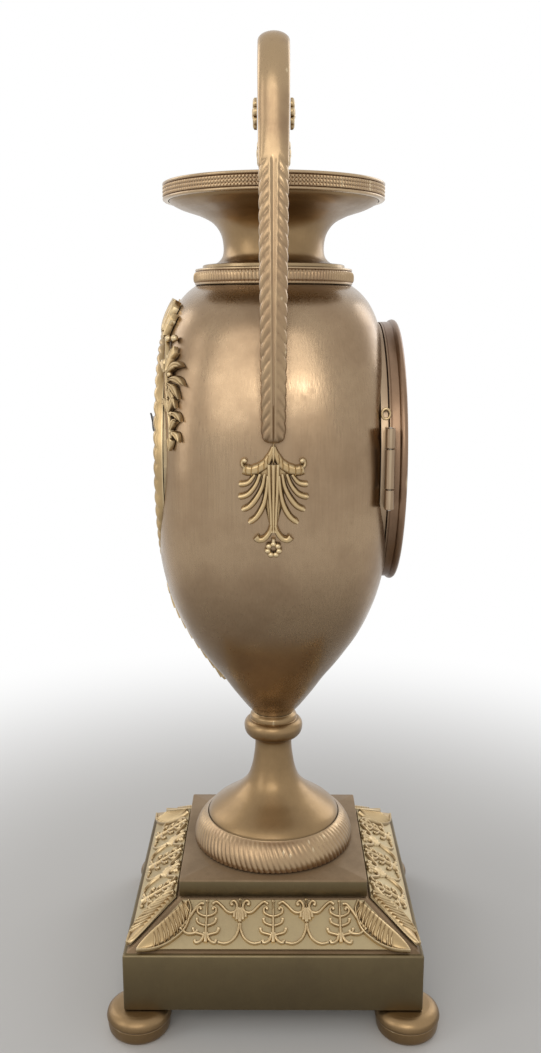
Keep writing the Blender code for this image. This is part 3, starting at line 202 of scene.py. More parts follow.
def aged_metal_group():
    """Gilt metal with cloudy tarnish, fine brushing, painted shade with grime in crevices, and rubbed edges
    lightened by a painted sheen.
    """
    tree, inlet, outlet = group(
        "aged_metal",
        {"Bright": (0.5, 0.36, 0.2, 1.0), "Dull": (0.2, 0.13, 0.06, 1.0), "Tarnish": 0.4, "Brushing": 0.4,
         "Roughness": 0.35, "Edge Wear": 0.5, "Crevice": 0.6},
        [("Color", "NodeSocketColor"), ("Roughness", "NodeSocketFloat"), ("Normal", "NodeSocketVector")])
    coord = node(tree, "TexCoord").outputs["Object"]
    cloud = node(tree, "TexNoise", None, Vector=coord, Scale=38.0, Detail=6.0, Roughness=0.62)
    spot = node(tree, "TexNoise", None, Vector=coord, Scale=210.0, Detail=3.0, Roughness=0.5)
    stretch = node(tree, "Mapping", None, Vector=coord)
    stretch.inputs["Scale"].default_value = (1.0, 1.0, 0.035)
    brush = node(tree, "TexNoise", None, Vector=stretch.outputs[0], Scale=1500.0, Detail=3.0, Roughness=0.6)
    edge = node(tree, "NewGeometry").outputs["Pointiness"]
    # Convex edges are rubbed: real rubbing, and a painted highlight on the same edges.
    worn_sheen = over(tree, edge, WORN_SHEEN_ABOVE, EDGE_GAIN)
    sunk = over(tree, SUNK_BELOW, edge, EDGE_GAIN)
    # Painted shade: ambient occlusion and sunk corners darken crevices towards Dull, along with grime.
    shade = node(tree, "AmbientOcclusion", {"samples": 6}, Distance=0.004).outputs["AO"]
    deep = maths(tree, "MAXIMUM", over(tree, 0.85, shade, 1.6), sunk)
    shade_and_dirt = maths(tree, "MULTIPLY", deep, inlet.outputs["Crevice"])
    cover = maths(tree, "MULTIPLY", over(tree, cloud.outputs[0], 0.42, 4.0), inlet.outputs["Tarnish"])
    speck = maths(tree, "MULTIPLY", over(tree, spot.outputs[0], 0.6, 5.0), inlet.outputs["Tarnish"])
    speck = maths(tree, "MULTIPLY", speck, 0.5)
    # Tarnish clouds, specks and the painted shade in crevices all pull the colour towards Dull.
    dull = maths(tree, "MAXIMUM", maths(tree, "MAXIMUM", cover, shade_and_dirt), speck, clamp=True)
    colour = blend(tree, dull, inlet.outputs["Bright"], inlet.outputs["Dull"])
    streak = maths(tree, "MULTIPLY_ADD", brush.outputs[0], 0.5, 0.75)
    streak = blend(tree, inlet.outputs["Brushing"], WHITE, streak)
    colour = blend(tree, 1.0, colour, streak, "MULTIPLY")
    # Painted sheen with rubbing: gain lightens convex edges towards the pale colour.
    gain = maths(tree, "MULTIPLY", worn_sheen, inlet.outputs["Edge Wear"])
    bare_and_sheen = blend(tree, 0.45, inlet.outputs["Bright"], BARE_METAL_SHEEN)
    colour = blend(tree, gain, colour, bare_and_sheen)
    grain = maths(tree, "MULTIPLY", maths(tree, "SUBTRACT", brush.outputs[0], 0.5), 0.25)
    rough = maths(tree, "ADD", inlet.outputs["Roughness"], maths(tree, "MULTIPLY", dull, 0.25))
    rough = maths(tree, "ADD", rough, grain)
    rough = maths(tree, "SUBTRACT", rough, maths(tree, "MULTIPLY", gain, 0.1), clamp=True)
    height = maths(tree, "ADD", maths(tree, "MULTIPLY", brush.outputs[0], inlet.outputs["Brushing"]),
                   maths(tree, "MULTIPLY", spot.outputs[0], 0.35))
    bump = node(tree, "Bump", None, Strength=0.22, Distance=0.0003, Height=height)
    tree.links.new(colour, outlet.inputs["Color"])
    tree.links.new(rough, outlet.inputs["Roughness"])
    tree.links.new(bump.outputs[0], outlet.inputs["Normal"])
    return tree


def glazed_enamel_group():
    """Enamel with faint clouding and hairline crazing."""
    tree, inlet, outlet = group(
        "glazed_enamel",
        {"Enamel": (0.86, 0.85, 0.79, 1.0), "Clouded Enamel": (0.8, 0.79, 0.73, 1.0), "Crazing": 0.13},
        [("Color", "NodeSocketColor")])
    coord = node(tree, "TexCoord").outputs["Object"]
    cloud = node(tree, "TexNoise", None, Vector=coord, Scale=60.0, Detail=5.0)
    craze = node(tree, "TexVoronoi", {"feature": "DISTANCE_TO_EDGE"}, Vector=coord, Scale=55.0)
    line = maths(tree, "LESS_THAN", craze.outputs[0], CRAZE_WIDTH)
    soft = maths(tree, "MULTIPLY", line, inlet.outputs["Crazing"])
    tint = blend(tree, cloud.outputs[0], inlet.outputs["Enamel"], inlet.outputs["Clouded Enamel"])
    tree.links.new(blend(tree, soft, tint, CRAZE_COLOUR), outlet.inputs["Color"])
    return tree


AGED_METAL = aged_metal_group()
GLAZED_ENAMEL = glazed_enamel_group()


def metal(name, bright, dull, tarnish, brushing, rough, wear=0.5, crevice=0.6):
    """One metal finish: a Principled material fed by the aged metal group."""
    made = bpy.data.materials.new(name)
    made.use_nodes = True
    tree = made.node_tree
    shader = tree.nodes["Principled BSDF"]
    aged = node(tree, "Group", {"node_tree": AGED_METAL}, Bright=(*bright, 1.0), Dull=(*dull, 1.0),
                Tarnish=tarnish, Brushing=brushing, Roughness=rough, Edge_Wear=wear, Crevice=crevice)
    tree.links.new(aged.outputs["Color"], shader.inputs["Base Color"])
    tree.links.new(aged.outputs["Roughness"], shader.inputs["Roughness"])
    tree.links.new(aged.outputs["Normal"], shader.inputs["Normal"])
    shader.inputs["Metallic"].default_value = 1.0
    shader.inputs["Coat Weight"].default_value = LACQUER_WEIGHT
    shader.inputs["Coat Roughness"].default_value = LACQUER_ROUGH
    return made


# Look: a label of the metal's kind, then metal()'s name, bright, dull, tarnish, brushing, rough, edge rubbing
# with painted sheen, and painted shade with grime in crevices
FINISHES = {
    "body": ("gilt", "gilt_body", (0.33, 0.232, 0.142), (0.2, 0.128, 0.072), 0.5, 0.5, 0.26, 0.2, 0.3),
    "turned": ("gilt", "gilt_turned", (0.275, 0.18, 0.088), (0.17, 0.108, 0.05), 0.45, 0.3, 0.33, 0.5, 0.2),
    # Relief gilt is lighter than the body's: their polish, and a painted highlight on the raised mounts.
    "relief": ("gilt_matt", "gilt_relief_highlit", (0.47, 0.335, 0.17), (0.12, 0.07, 0.032), 0.35, 0.1, 0.33,
               0.8, 0.9),
    # Plinth gilt is much darker than the body's: painted shade, the dark floor's reflection laid into its
    # colour.
    "plinth": ("gilt", "gilt_plinth_shaded", (0.12, 0.086, 0.038), (0.07, 0.047, 0.021), 0.6, 0.35, 0.42, 0.4),
    "handle": ("gilt", "gilt_handle", (0.38, 0.265, 0.15), (0.14, 0.07, 0.045), 0.4, 0.1, 0.3, 0.6, 1.0),
    "ground": ("gilt_matt", "matt_ground", (0.25, 0.17, 0.098), (0.15, 0.1, 0.055), 0.6, 0.2, 0.62, 0.25),
    "floor": ("gilt_matt", "olive_ground", (0.26, 0.19, 0.083), (0.17, 0.112, 0.056), 0.8, 0.2, 0.5,
              0.5, 0.9),
    "door": ("aged_brass", "brass_door", (0.25, 0.158, 0.098), (0.13, 0.078, 0.046), 0.5, 0.5, 0.36),
    "pan": ("brass", "dull_brass", (0.26, 0.18, 0.09), (0.14, 0.09, 0.045), 0.6, 0.3, 0.55),
    "brass": ("brass", "clock_brass", (0.72, 0.54, 0.25), (0.35, 0.22, 0.08), 0.3, 0.5, 0.27),
    "bell": ("bell_metal", "bell_bronze", (0.62, 0.52, 0.34), (0.3, 0.22, 0.12), 0.3, 0.2, 0.25),
    "steel": ("steel", "plain_steel", (0.5, 0.5, 0.5), (0.2, 0.17, 0.14), 0.4, 0.4, 0.33),
    "blued": ("blued_steel", "blued_steel_look", (0.03, 0.035, 0.07), (0.01, 0.012, 0.02), 0.3, 0.2, 0.3),
    "iron": ("iron", "black_iron", (0.1, 0.095, 0.09), (0.06, 0.04, 0.03), 0.6, 0.3, 0.6)}
LOOKS = {look: metal(*row[1:]) for look, row in FINISHES.items()}


def enamel_look(name, colour, rough):
    """One enamel under its clear glaze: a Principled material fed by the glazed enamel group."""
    made = bpy.data.materials.new(name)
    made.use_nodes = True
    tree = made.node_tree
    shader = tree.nodes["Principled BSDF"]
    clouded = (*(part * CLOUDED for part in colour), 1.0)
    glazed = node(tree, "Group", {"node_tree": GLAZED_ENAMEL}, Enamel=(*colour, 1.0),
                  Clouded_Enamel=clouded, Crazing=CRAZE_DEPTH)
    tree.links.new(glazed.outputs["Color"], shader.inputs["Base Color"])
    shader.inputs["Roughness"].default_value = rough
    shader.inputs["Coat Weight"].default_value = GLAZE_WEIGHT
    shader.inputs["Coat Roughness"].default_value = GLAZE_ROUGH
    return made


LOOKS["enamel"] = enamel_look("white_enamel", (0.86, 0.85, 0.79), 0.18)
LOOKS["ink"] = enamel_look("black_enamel", (0.02, 0.018, 0.016), 0.25)


# Mesh helpers
def piece(name, bm, look, body=CASE, instead=None, sharp=40):
    """Links a bmesh as a finished piece that rides on a body and may stand for a CAD node."""
    bmesh.ops.recalc_face_normals(bm, faces=bm.faces)
    made = as_object(name, bm)
    made.data.shade_smooth()
    made.data.set_sharp_from_angle(angle=math.radians(sharp))
    made.data.materials.append(LOOKS[look])
    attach(made, body)
    if instead:
        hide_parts(instead)
    return made


def curve(points, steps=6):
    """Points on a Catmull-Rom curve through the given ones, of any dimension."""
    points = [tuple(p) for p in points]
    first = tuple(2 * a - b for a, b in zip(points[0], points[1]))
    last = tuple(2 * a - b for a, b in zip(points[-1], points[-2]))
    ends = [first] + points + [last]
    found = []
    for a, b, c, d in zip(ends, ends[1:], ends[2:], ends[3:]):
        for k in range(steps):
            t = k / steps
            found.append(tuple(0.5 * (2 * q + (r - p) * t + (2 * p - 5 * q + 4 * r - s) * t * t
                                      + (3 * q - p - 3 * r + s) * t ** 3) for p, q, r, s in zip(a, b, c, d)))
    return found + [points[-1]]


def lathe(profile, centre=(0, 0, 0), axis="Z", count=144, wave=None, bm=None):
    """Turns (radius, place) points in mm. wave(turn, radius, place) may return changed ones."""
    bm = bm or bmesh.new()
    rings = []
    for radius, place in profile:
        ring = []
        for i in range(count):
            turn = math.tau * i / count
            r, z = wave(turn, radius, place) if wave else (radius, place)
            c, s = r * math.cos(turn), r * math.sin(turn)
            at = (c, s, z) if axis == "Z" else (c, z, s)
            ring.append(bm.verts.new(Vector(centre) * MM + Vector(at) * MM))
            if radius == 0:
                break
        rings.append(ring)
    for near, far in zip(rings, rings[1:]):
        for i in range(count):
            j = (i + 1) % count
            if len(near) == 1:
                bm.faces.new((near[0], far[j], far[i]))
            elif len(far) == 1:
                bm.faces.new((near[i], near[j], far[0]))
            else:
                bm.faces.new((near[i], near[j], far[j], far[i]))
    return bm


def bridge(bm, rings, close=False):
    """Quads between neighbouring rings, and from the last to the first if close is set."""
    for near, far in zip(rings, rings[1:] + rings[:1] if close else rings[1:]):
        for i in range(len(near)):
            j = (i + 1) % len(near)
            bm.faces.new((near[i], near[j], far[j], far[i]))


def capped(bm, rings):
    """A bridge with a face on both ends."""
    bridge(bm, rings)
    bm.faces.new(rings[0])
    bm.faces.new(rings[-1])


def block(bm, low, high, soft=0.15):
    """A box with softened edges between two corners in mm."""
    made = bmesh.ops.create_cube(bm, size=1.0)["verts"]
    low, high = Vector(low), Vector(high)
    for vert in made:
        vert.co = Vector(low[i] + (vert.co[i] + 0.5) * (high[i] - low[i]) for i in range(3)) * MM
    edges = list({edge for vert in made for edge in vert.link_edges})
    bmesh.ops.bevel(bm, geom=edges, offset=soft * MM, segments=2, affect="EDGES")


def cut_with(target, bm, name):
    """Takes the shape of a bmesh out of a piece."""
    bmesh.ops.recalc_face_normals(bm, faces=bm.faces)
    tool = as_object(name, bm)
    step = target.modifiers.new(name, "BOOLEAN")
    step.operation = "DIFFERENCE"
    step.object = tool
    step.solver = "EXACT"
    bpy.context.view_layer.update()
    shaped = bpy.data.meshes.new_from_object(target.evaluated_get(bpy.context.evaluated_depsgraph_get()))
    target.modifiers.clear()
    target.data = shaped
    bpy.data.objects.remove(tool)
    shaped.shade_smooth()
    shaped.set_sharp_from_angle(angle=math.radians(40))


def ball(bm, at, radius):
    """A small bead at a point in metres."""
    turned = Matrix.Translation(at) @ Matrix.Rotation(math.pi, 4, "Z")
    bmesh.ops.create_icosphere(bm, subdivisions=2, radius=radius, matrix=turned)


def strip(bm, spine, widths, heights, mapping, across=6, rib=0.25):
    """A lens-shaped raised petal along a spine of (u, v) points, laid by mapping(u, v, height) -> point."""
    count = len(spine)
    top, low = [], []
    for k, (u, v) in enumerate(spine):
        a, b = spine[max(k - 1, 0)], spine[min(k + 1, count - 1)]
        du, dv = b[0] - a[0], b[1] - a[1]
        size = math.hypot(du, dv) or 1.0
        nu, nv = -dv / size, du / size
        share = k / (count - 1)
        width = widths(share) if callable(widths) else widths
        height = heights(share) if callable(heights) else heights
        line = []
        for i in range(across + 1):
            t = 2 * i / across - 1
            lift = height * (math.sqrt(max(1 - t * t, 0.0)) - rib * math.exp(-(t / 0.22) ** 2))
            line.append(bm.verts.new(mapping(u + nu * width * t, v + nv * width * t, lift)))
        top.append(line)
        low.append([bm.verts.new(mapping(u + nu * width * t, v + nv * width * t, -0.15)) for t in (-1, 1)])
    for k in range(count - 1):
        for i in range(across):
            bm.faces.new((top[k][i], top[k][i + 1], top[k + 1][i + 1], top[k + 1][i]))
        bm.faces.new((low[k][0], top[k][0], top[k + 1][0], low[k + 1][0]))
        bm.faces.new((top[k][-1], low[k][1], low[k + 1][1], top[k + 1][-1]))
        bm.faces.new((low[k][1], low[k][0], low[k + 1][0], low[k + 1][1]))
    for k in (0, count - 1):
        bm.faces.new([low[k][0], *top[k], low[k][1]])


def leaf_width(width, peak=0.4, root=0.25):
    """Width of a leaf along its length: narrow root, full belly, pointed tip."""
    def at(s):
        if s < peak:
            return width * (root + (1 - root) * s / peak)
        return width * max(1 - ((s - peak) / (1 - peak)) ** 1.8, 0.04)
    return at


# Vase surface
BODY_BASE, BODY_HEIGHT = 111.0, 173.0
# Half depth and half width at the widest place, and the round radii at the foot and under the collar
DEPTH, WIDTH, FOOT, SEAT = 45.0, 58.0, 8.4, 30.0
WIDEST = 0.57
DIAL_Z = 220.5
MOUNT_RISE = 0.45
# Share of the height, share of the half depth
BODY_SHARES = (
    (0.0, 0.187), (0.026, 0.265), (0.072, 0.382), (0.115, 0.48), (0.155, 0.58), (0.195, 0.67), (0.236, 0.755),
    (0.283, 0.832), (0.34, 0.902), (0.41, 0.957), (0.49, 0.991), (0.57, 1.0), (0.64, 0.998), (0.72, 0.985),
    (0.80, 0.955), (0.87, 0.911), (0.924, 0.866), (0.96, 0.808), (0.985, 0.735), (1.0, 0.667))
SMOOTH = curve(BODY_SHARES, 8)


def radii(z):
    """Half width, half depth and roundness (2 is an ellipse) of the vase at a height in mm."""
    place = min(max((z - BODY_BASE) / BODY_HEIGHT, 0.0), 1.0)
    depth = DEPTH * SMOOTH[-1][1]
    for (low, near), (high, far) in zip(SMOOTH, SMOOTH[1:]):
        if low <= place <= high:
            depth = DEPTH * (near + (far - near) * (place - low) / (high - low))
            break
    start = FOOT if place < WIDEST else SEAT
    swell = min(max((depth - start) / (DEPTH - start), 0.0), 1.0)
    return depth + (WIDTH - DEPTH) * swell, depth, 2.0 + 2.0 * swell


def on_side(side):
    """Mapping (y, z, height) in mm onto the vase's right (+1) or left (-1) flank."""
    def place(y, z, lift):
        width, depth, power = radii(z)
        x = width * max(1 - abs(y / depth) ** power, 0.0) ** (1 / power)
        near = radii(z + 1.0)[0] - radii(z - 1.0)[0]
        normal = Vector((1.0, 0.0, -near / 2.0)).normalized()
        if abs(y) > 0.01 and x > 0:
            normal = Vector(((x / width) ** (power - 1) / width,
                             math.copysign((abs(y) / depth) ** (power - 1) / depth, y), 0.0)).normalized()
            normal = (normal + Vector((0.0, 0.0, -near / 2.0))).normalized()
        at = Vector((x, y, z)) + normal * (lift + MOUNT_RISE)
        return Vector((side * at.x, at.y, at.z)) * MM
    return place


def on_front(x, z, lift):
    """The same on the dial side: across, height and lift in mm."""
    width, depth, power = radii(z)
    y = depth * max(1 - abs(x / width) ** power, 0.0) ** (1 / power)
    slope = (radii(z + 1.0)[1] - radii(z - 1.0)[1]) / 2.0
    across = math.copysign((abs(x) / width) ** (power - 1) / width, x)
    normal = Vector((across, -(max(y, 0.1) / depth) ** (power - 1) / depth, 0.0))
    normal = (normal.normalized() + Vector((0.0, 0.0, -slope))).normalized()
    return (Vector((x, -y, z)) + normal * (lift + MOUNT_RISE)) * MM


# Feet and plinth
FOOT_PLACE = 52.2


def make_feet():
    dome = curve([(8.5, 10.7), (10.4, 10.1), (11.9, 8.8), (12.5, 7.2), (12.55, 6.3), (12.3, 5.8)], 5)
    band = curve([(12.0, 5.6), (12.15, 5.3), (12.1, 3.4), (11.7, 1.4), (10.6, 0.0)], 4)
    corners = (("front_left", -1, -1), ("front_right", 1, -1), ("back_left", -1, 1), ("back_right", 1, 1))
    for name, sx, sy in corners:
        centre = (sx * FOOT_PLACE, sy * FOOT_PLACE, 0)
        bm = lathe([(0, 10.7), *dome, *band, (0, 0)], centre, count=96)
        piece("foot_dome_" + name, bm, "turned", instead="foot_" + name)


def square_ring(bm, half, z, soft=0.7, steps=4):
    """A square with rounded corners."""
    ring = []
    for corner, (sx, sy) in enumerate(((1, 1), (-1, 1), (-1, -1), (1, -1))):
        for k in range(steps + 1):
            turn = math.radians(90 * corner + 90 * k / steps)
            x = sx * (half - soft) + soft * math.cos(turn)
            y = sy * (half - soft) + soft * math.sin(turn)
            ring.append(bm.verts.new(Vector((x, y, z)) * MM))
    return ring


def square_loft(profile):
    bm = bmesh.new()
    bridge(bm, [square_ring(bm, half, z) for half, z in profile], close=True)
    return bm


def two_looks(name, bm, look, other, low, high, instead):
    """A piece whose faces between two heights in mm have another look."""
    for face in bm.faces:
        face.material_index = 1 if low * MM < face.calc_center_median().z < high * MM else 0
    made = piece(name, bm, look, instead=instead, sharp=50)
    made.data.materials.append(LOOKS[other])


def make_plinth():
    block_side = [(54.5, 11.0), (57.0, 11.0), (57.4, 11.2), (57.5, 11.7), (57.5, 33.6), (57.3, 34.2),
                  (56.8, 34.5), (56.1, 34.5), (55.9, 34.6), (37.4, 46.2), (37.2, 46.4), (2.4, 46.4),
                  (2.4, 43.4), (34.3, 43.4), (54.5, 31.6)]
    two_looks("plinth_block", square_loft(block_side), "plinth", "ground", 34.55, 99.0, "plinth")
    step_side = [(2.4, 46.7), (36.9, 46.7), (37.2, 46.9), (37.3, 47.2), (37.3, 53.4), (37.15, 53.95),
                 (36.6, 54.2), (2.4, 54.2)]
    two_looks("plinth_step", square_loft(step_side), "ground", "plinth", 47.3, 53.3, "plinth_cap")


# The sloped shoulder: its foot (out, up), how far it runs and rises per mm, and the ground's thickness
SLOPE_FOOT, SLOPE_RUN, SLOPE_RISE, GROUND = (55.9, 34.5), 0.8424, 0.539, 1.1


def on_slope(turn):
    """Mapping (across, up the slope, height) in mm onto one of the plinth's four shoulders."""
    spin = Matrix.Rotation(turn, 3, "Z")

    def place(u, v, lift):
        out = -SLOPE_FOOT[0] + SLOPE_RUN * v - SLOPE_RISE * (lift + GROUND)
        up = SLOPE_FOOT[1] + SLOPE_RISE * v + SLOPE_RUN * (lift + GROUND)
        return spin @ Vector((u, out, up)) * MM
    return place


def mirrored(points, side):
    """Points (across, up) laid to one side (1 or -1)."""
    return [(side * across, up) for across, up in points]


# Frieze relief: (points of (across, up the slope), half width, height) beside a stem at 0
STEMS = (
    ((((0.0, 3.6), (0.0, 9.0), (0.0, 20.0)), lambda s: 0.95 - 0.5 * s, 1.3),
     (((0.5, 7.2), (1.1, 5.2), (2.3, 3.9), (3.6, 3.5), (4.1, 4.3)), 0.48, 1.2),
     (((0.5, 6.4), (2.2, 6.9), (4.2, 7.5), (4.9, 8.7)), 0.45, 1.2),
     (((0.5, 10.2), (1.8, 10.6), (3.2, 11.4), (3.7, 12.5)), 0.42, 1.2),
     (((0.3, 13.9), (1.8, 14.3), (3.4, 15.4), (3.6, 17.0), (2.6, 17.6), (2.1, 16.8)), 0.4, 1.2)),
    ((((0.0, 8.6), (0.0, 11.0), (0.0, 20.6)), lambda s: 0.42, 1.3),
     (((0.2, 16.8), (0.3, 14.2), (0.0, 11.6)), 0.6, 1.3),
     (((0.3, 17.0), (1.1, 15.2), (1.2, 12.4)), 0.55, 1.3),
     (((0.4, 17.2), (1.9, 15.8), (2.3, 13.4)), 0.5, 1.3),
     (((0.1, 10.4), (0.5, 8.4), (1.6, 5.8), (3.6, 3.9), (5.8, 3.2), (8.2, 3.7)), 0.42, 1.15)))
BUDS = (((0.0, 20.0, 0.75), (4.9, 9.0, 0.72), (3.7, 12.9, 0.66), (2.4, 16.9, 0.6), (4.1, 4.3, 0.6)),
        ((0.0, 20.6, 0.7), (0.0, 10.6, 0.75), (3.3, 18.7, 0.75)))
TENDRIL = ((2.0, 18.9), (3.7, 19.8), (5.9, 18.1), (8.4, 15.6), (10.9, 15.7), (11.9, 17.9), (11.0, 20.0),
           (9.6, 19.8), (9.5, 18.4))
OUTER = (((27.3, 19.0), (29.0, 18.8), (31.4, 15.6), (33.6, 11.7), (36.0, 8.6)),
         ((35.6, 8.9), (33.2, 7.1), (30.4, 7.2), (29.3, 8.2)))
CORNER = ((-52.2, 0.6), (-46.5, 1.0), (-41.3, 2.8), (-37.1, 5.8), (-34.2, 9.0), (-32.7, 13.3), (-32.3, 17.3),
          (-33.4, 20.4))
CORNER_AXIS = ((-52.0, 0.9), (-46.6, 4.6), (-41.0, 9.2), (-36.6, 14.6), (-34.2, 20.0))
CORNER_VEINS = 11


def corner_leaf(bm, place, side):
    border = curve(CORNER, 6)
    strip(bm, mirrored(border, side), 0.6, 1.5, place, 4, 0.0)
    axis = mirrored(curve(CORNER_AXIS, 6), side)
    strip(bm, axis, lambda s: 0.5 + 3.4 * math.sin(math.pi * min(s * 1.02, 1.0)) ** 0.7, 0.95, place, 10, 0.0)
    for k in range(CORNER_VEINS):
        share = (k + 1.0) / (CORNER_VEINS + 1.0)
        low = border[round((0.1 + 0.72 * share) * (len(border) - 1))]
        ahead = min(share + 0.24, 1.0)
        top = (-51.0 + 15.0 * ahead, 1.9 + 18.2 * ahead)
        middle = ((low[0] + top[0]) / 2 + 0.6, (low[1] + top[1]) / 2 - 0.5)
        line = mirrored(curve([low, middle, top], 5), side)
        strip(bm, line, leaf_width(0.72, 0.45, 0.4), 1.5, place, 4, 0.0)


def make_frieze(name, turn):
    place = on_slope(turn)
    bm = bmesh.new()
    corners = [(-52.3, 1.2), (52.3, 1.2), (35.8, 20.8), (-35.8, 20.8)]
    capped(bm, [[bm.verts.new(place(u, v, level)) for u, v in corners] for level in (-0.75, 0.0)])
    piece("frieze_ground_" + name, bm, "floor", instead="frieze_" + name, sharp=30)
    bm = bmesh.new()
    for u, kind in ((-26.0, 0), (-13.0, 1), (0.0, 0), (13.0, 1), (26.0, 0)):
        for route, half, high in STEMS[kind]:
            for side in (-1, 1) if route[1][0] or route[-1][0] else (1,):
                line = curve([(u + side * across, up) for across, up in route], 4)
                strip(bm, line, half if callable(half) else half * 1.6, high, place, 4, 0.0)
        for across, up, radius in BUDS[kind]:
            for side in (-1, 1) if across else (1,):
                ball(bm, place(u + side * across, up, 0.5), radius * MM)
    for side in (-1, 1):
        for start, way in ((0.0, 1), (26.0, -1)):
            line = [(side * (start + way * across), up) for across, up in TENDRIL]
            strip(bm, curve(line, 4), 0.78, 1.3, place, 4, 0.0)
        for route in OUTER:
            strip(bm, curve(mirrored(route, side), 5), 0.78, 1.3, place, 4, 0.0)
        corner_leaf(bm, place, side)
    piece("frieze_relief_" + name, bm, "relief", sharp=60)


# Turned foot and knop
ROPE_ROOT, ROPE_FOOT, ROPE_LOBES, ROPE_TWIST = 28.0, 54.5, 46, 0.0125


def make_stem():
    rope = curve([(28.0, 54.5), (32.9, 54.55), (33.5, 55.5), (33.5, 57.2), (32.9, 59.6), (31.8, 62.0),
                  (30.2, 64.1), (28.3, 65.5), (28.0, 65.9)], 4)

    def twist(turn, radius, place):
        lobe = abs(math.cos(ROPE_LOBES * (turn + (place - ROPE_FOOT) * ROPE_TWIST)))
        deep = min((radius - ROPE_ROOT) / 2.5, 1.0)
        return radius - 0.5 * deep * (1 - lobe ** 0.6), place
    bm = lathe(rope + [(27.9, 65.9), (27.9, 54.5), rope[0]], count=16 * ROPE_LOBES, wave=twist)
    piece("gadroon_ring", bm, "handle", instead="rope_ring", sharp=50)
    dome = curve([(27.6, 65.9), (27.2, 66.9), (25.2, 69.0), (20.3, 72.4), (15.8, 75.7), (11.4, 80.3),
                  (9.3, 85.2), (8.2, 90.7), (7.65, 95.4), (7.7, 98.2), (8.2, 99.4)], 6)
    profile = [(2.4, 54.5), (27.7, 54.5), (27.7, 65.6), *dome, (8.1, 99.7), (2.4, 99.7), (2.4, 54.5)]
    piece("stem_trumpet", lathe(profile), "turned", instead="foot_stem")
    knop = curve([(8.8, 100.0), (10.3, 100.4), (11.7, 102.1), (12.2, 104.6), (11.8, 106.3), (10.7, 107.4),
                  (9.8, 107.6)], 5)
    profile = [(2.4, 100.0), *knop, (9.6, 107.8), (9.7, 109.2), (9.4, 109.8), (8.6, 110.3), (8.3, 110.7),
               (2.4, 110.7), (2.4, 100.0)]
    piece("knop", lathe(profile), "turned", instead="stem_knop")


# Vase body
WALL, ROD_HOLE, NECK_HOLE, BODY_SIDES = 1.6, 2.4, 24.0, 128
FLAT_FRONT, FLAT_BACK = -34.7, 35.4
# Openings of the dial and the door: bore, seat, place of the seat's step, side
OPENINGS = ((45.3, 48.9, -36.7, -1), (47.0, 50.6, 37.4, 1))


def make_body():
    bm = bmesh.new()
    turns = [math.tau * i / BODY_SIDES for i in range(BODY_SIDES)]

    def round_ring(z, radius):
        return [bm.verts.new(Vector((radius * math.cos(turn), radius * math.sin(turn), z)) * MM)
                for turn in turns]

    def ring(z, inset=0.0):
        width, depth, power = radii(z)
        made = []
        for turn in turns:
            c, s = math.cos(turn), math.sin(turn)
            stretch = (abs(c) ** power + abs(s) ** power) ** (-1 / power)
            y = (depth - inset) * s * stretch
            if inset:
                y = min(max(y, FLAT_FRONT), FLAT_BACK)
            made.append(bm.verts.new(Vector(((width - inset) * c * stretch, y, z)) * MM))
        return made
    heights = [BODY_BASE + share * BODY_HEIGHT for share, _ in SMOOTH[::2]]
    rings = [round_ring(111.0, ROD_HOLE)] + [ring(z) for z in heights]
    rings += [round_ring(284.0, NECK_HOLE), round_ring(282.4, NECK_HOLE)]
    rings += [ring(z, WALL) for z in heights[::-3] if 128.0 < z < 281.0]
    rings += [ring(119.0, WALL), round_ring(119.0, ROD_HOLE)]
    bridge(bm, rings, close=True)
    body = piece("vase_shell", bm, "body", instead="vase_body")
    for bore, seat, flat, side in OPENINGS:
        end, floor = side * 70, flat - side * 5.0
        step = [(0, end), (seat, end), (seat, flat), (bore, flat), (bore, floor), (0, floor)]
        cut_with(body, lathe(step, (0, 0, DIAL_Z), "Y", 160), "dial_cut")


# Neck, dish and rim
FLUTED, FLUTES = (285.0, 288.9), 72
MILLED_FOOT, MILLED_HEIGHT, MILLED_ROOT, MILLED_DOTS, MILLED_ROWS = 316.2, 3.95, 41.35, 100, 3


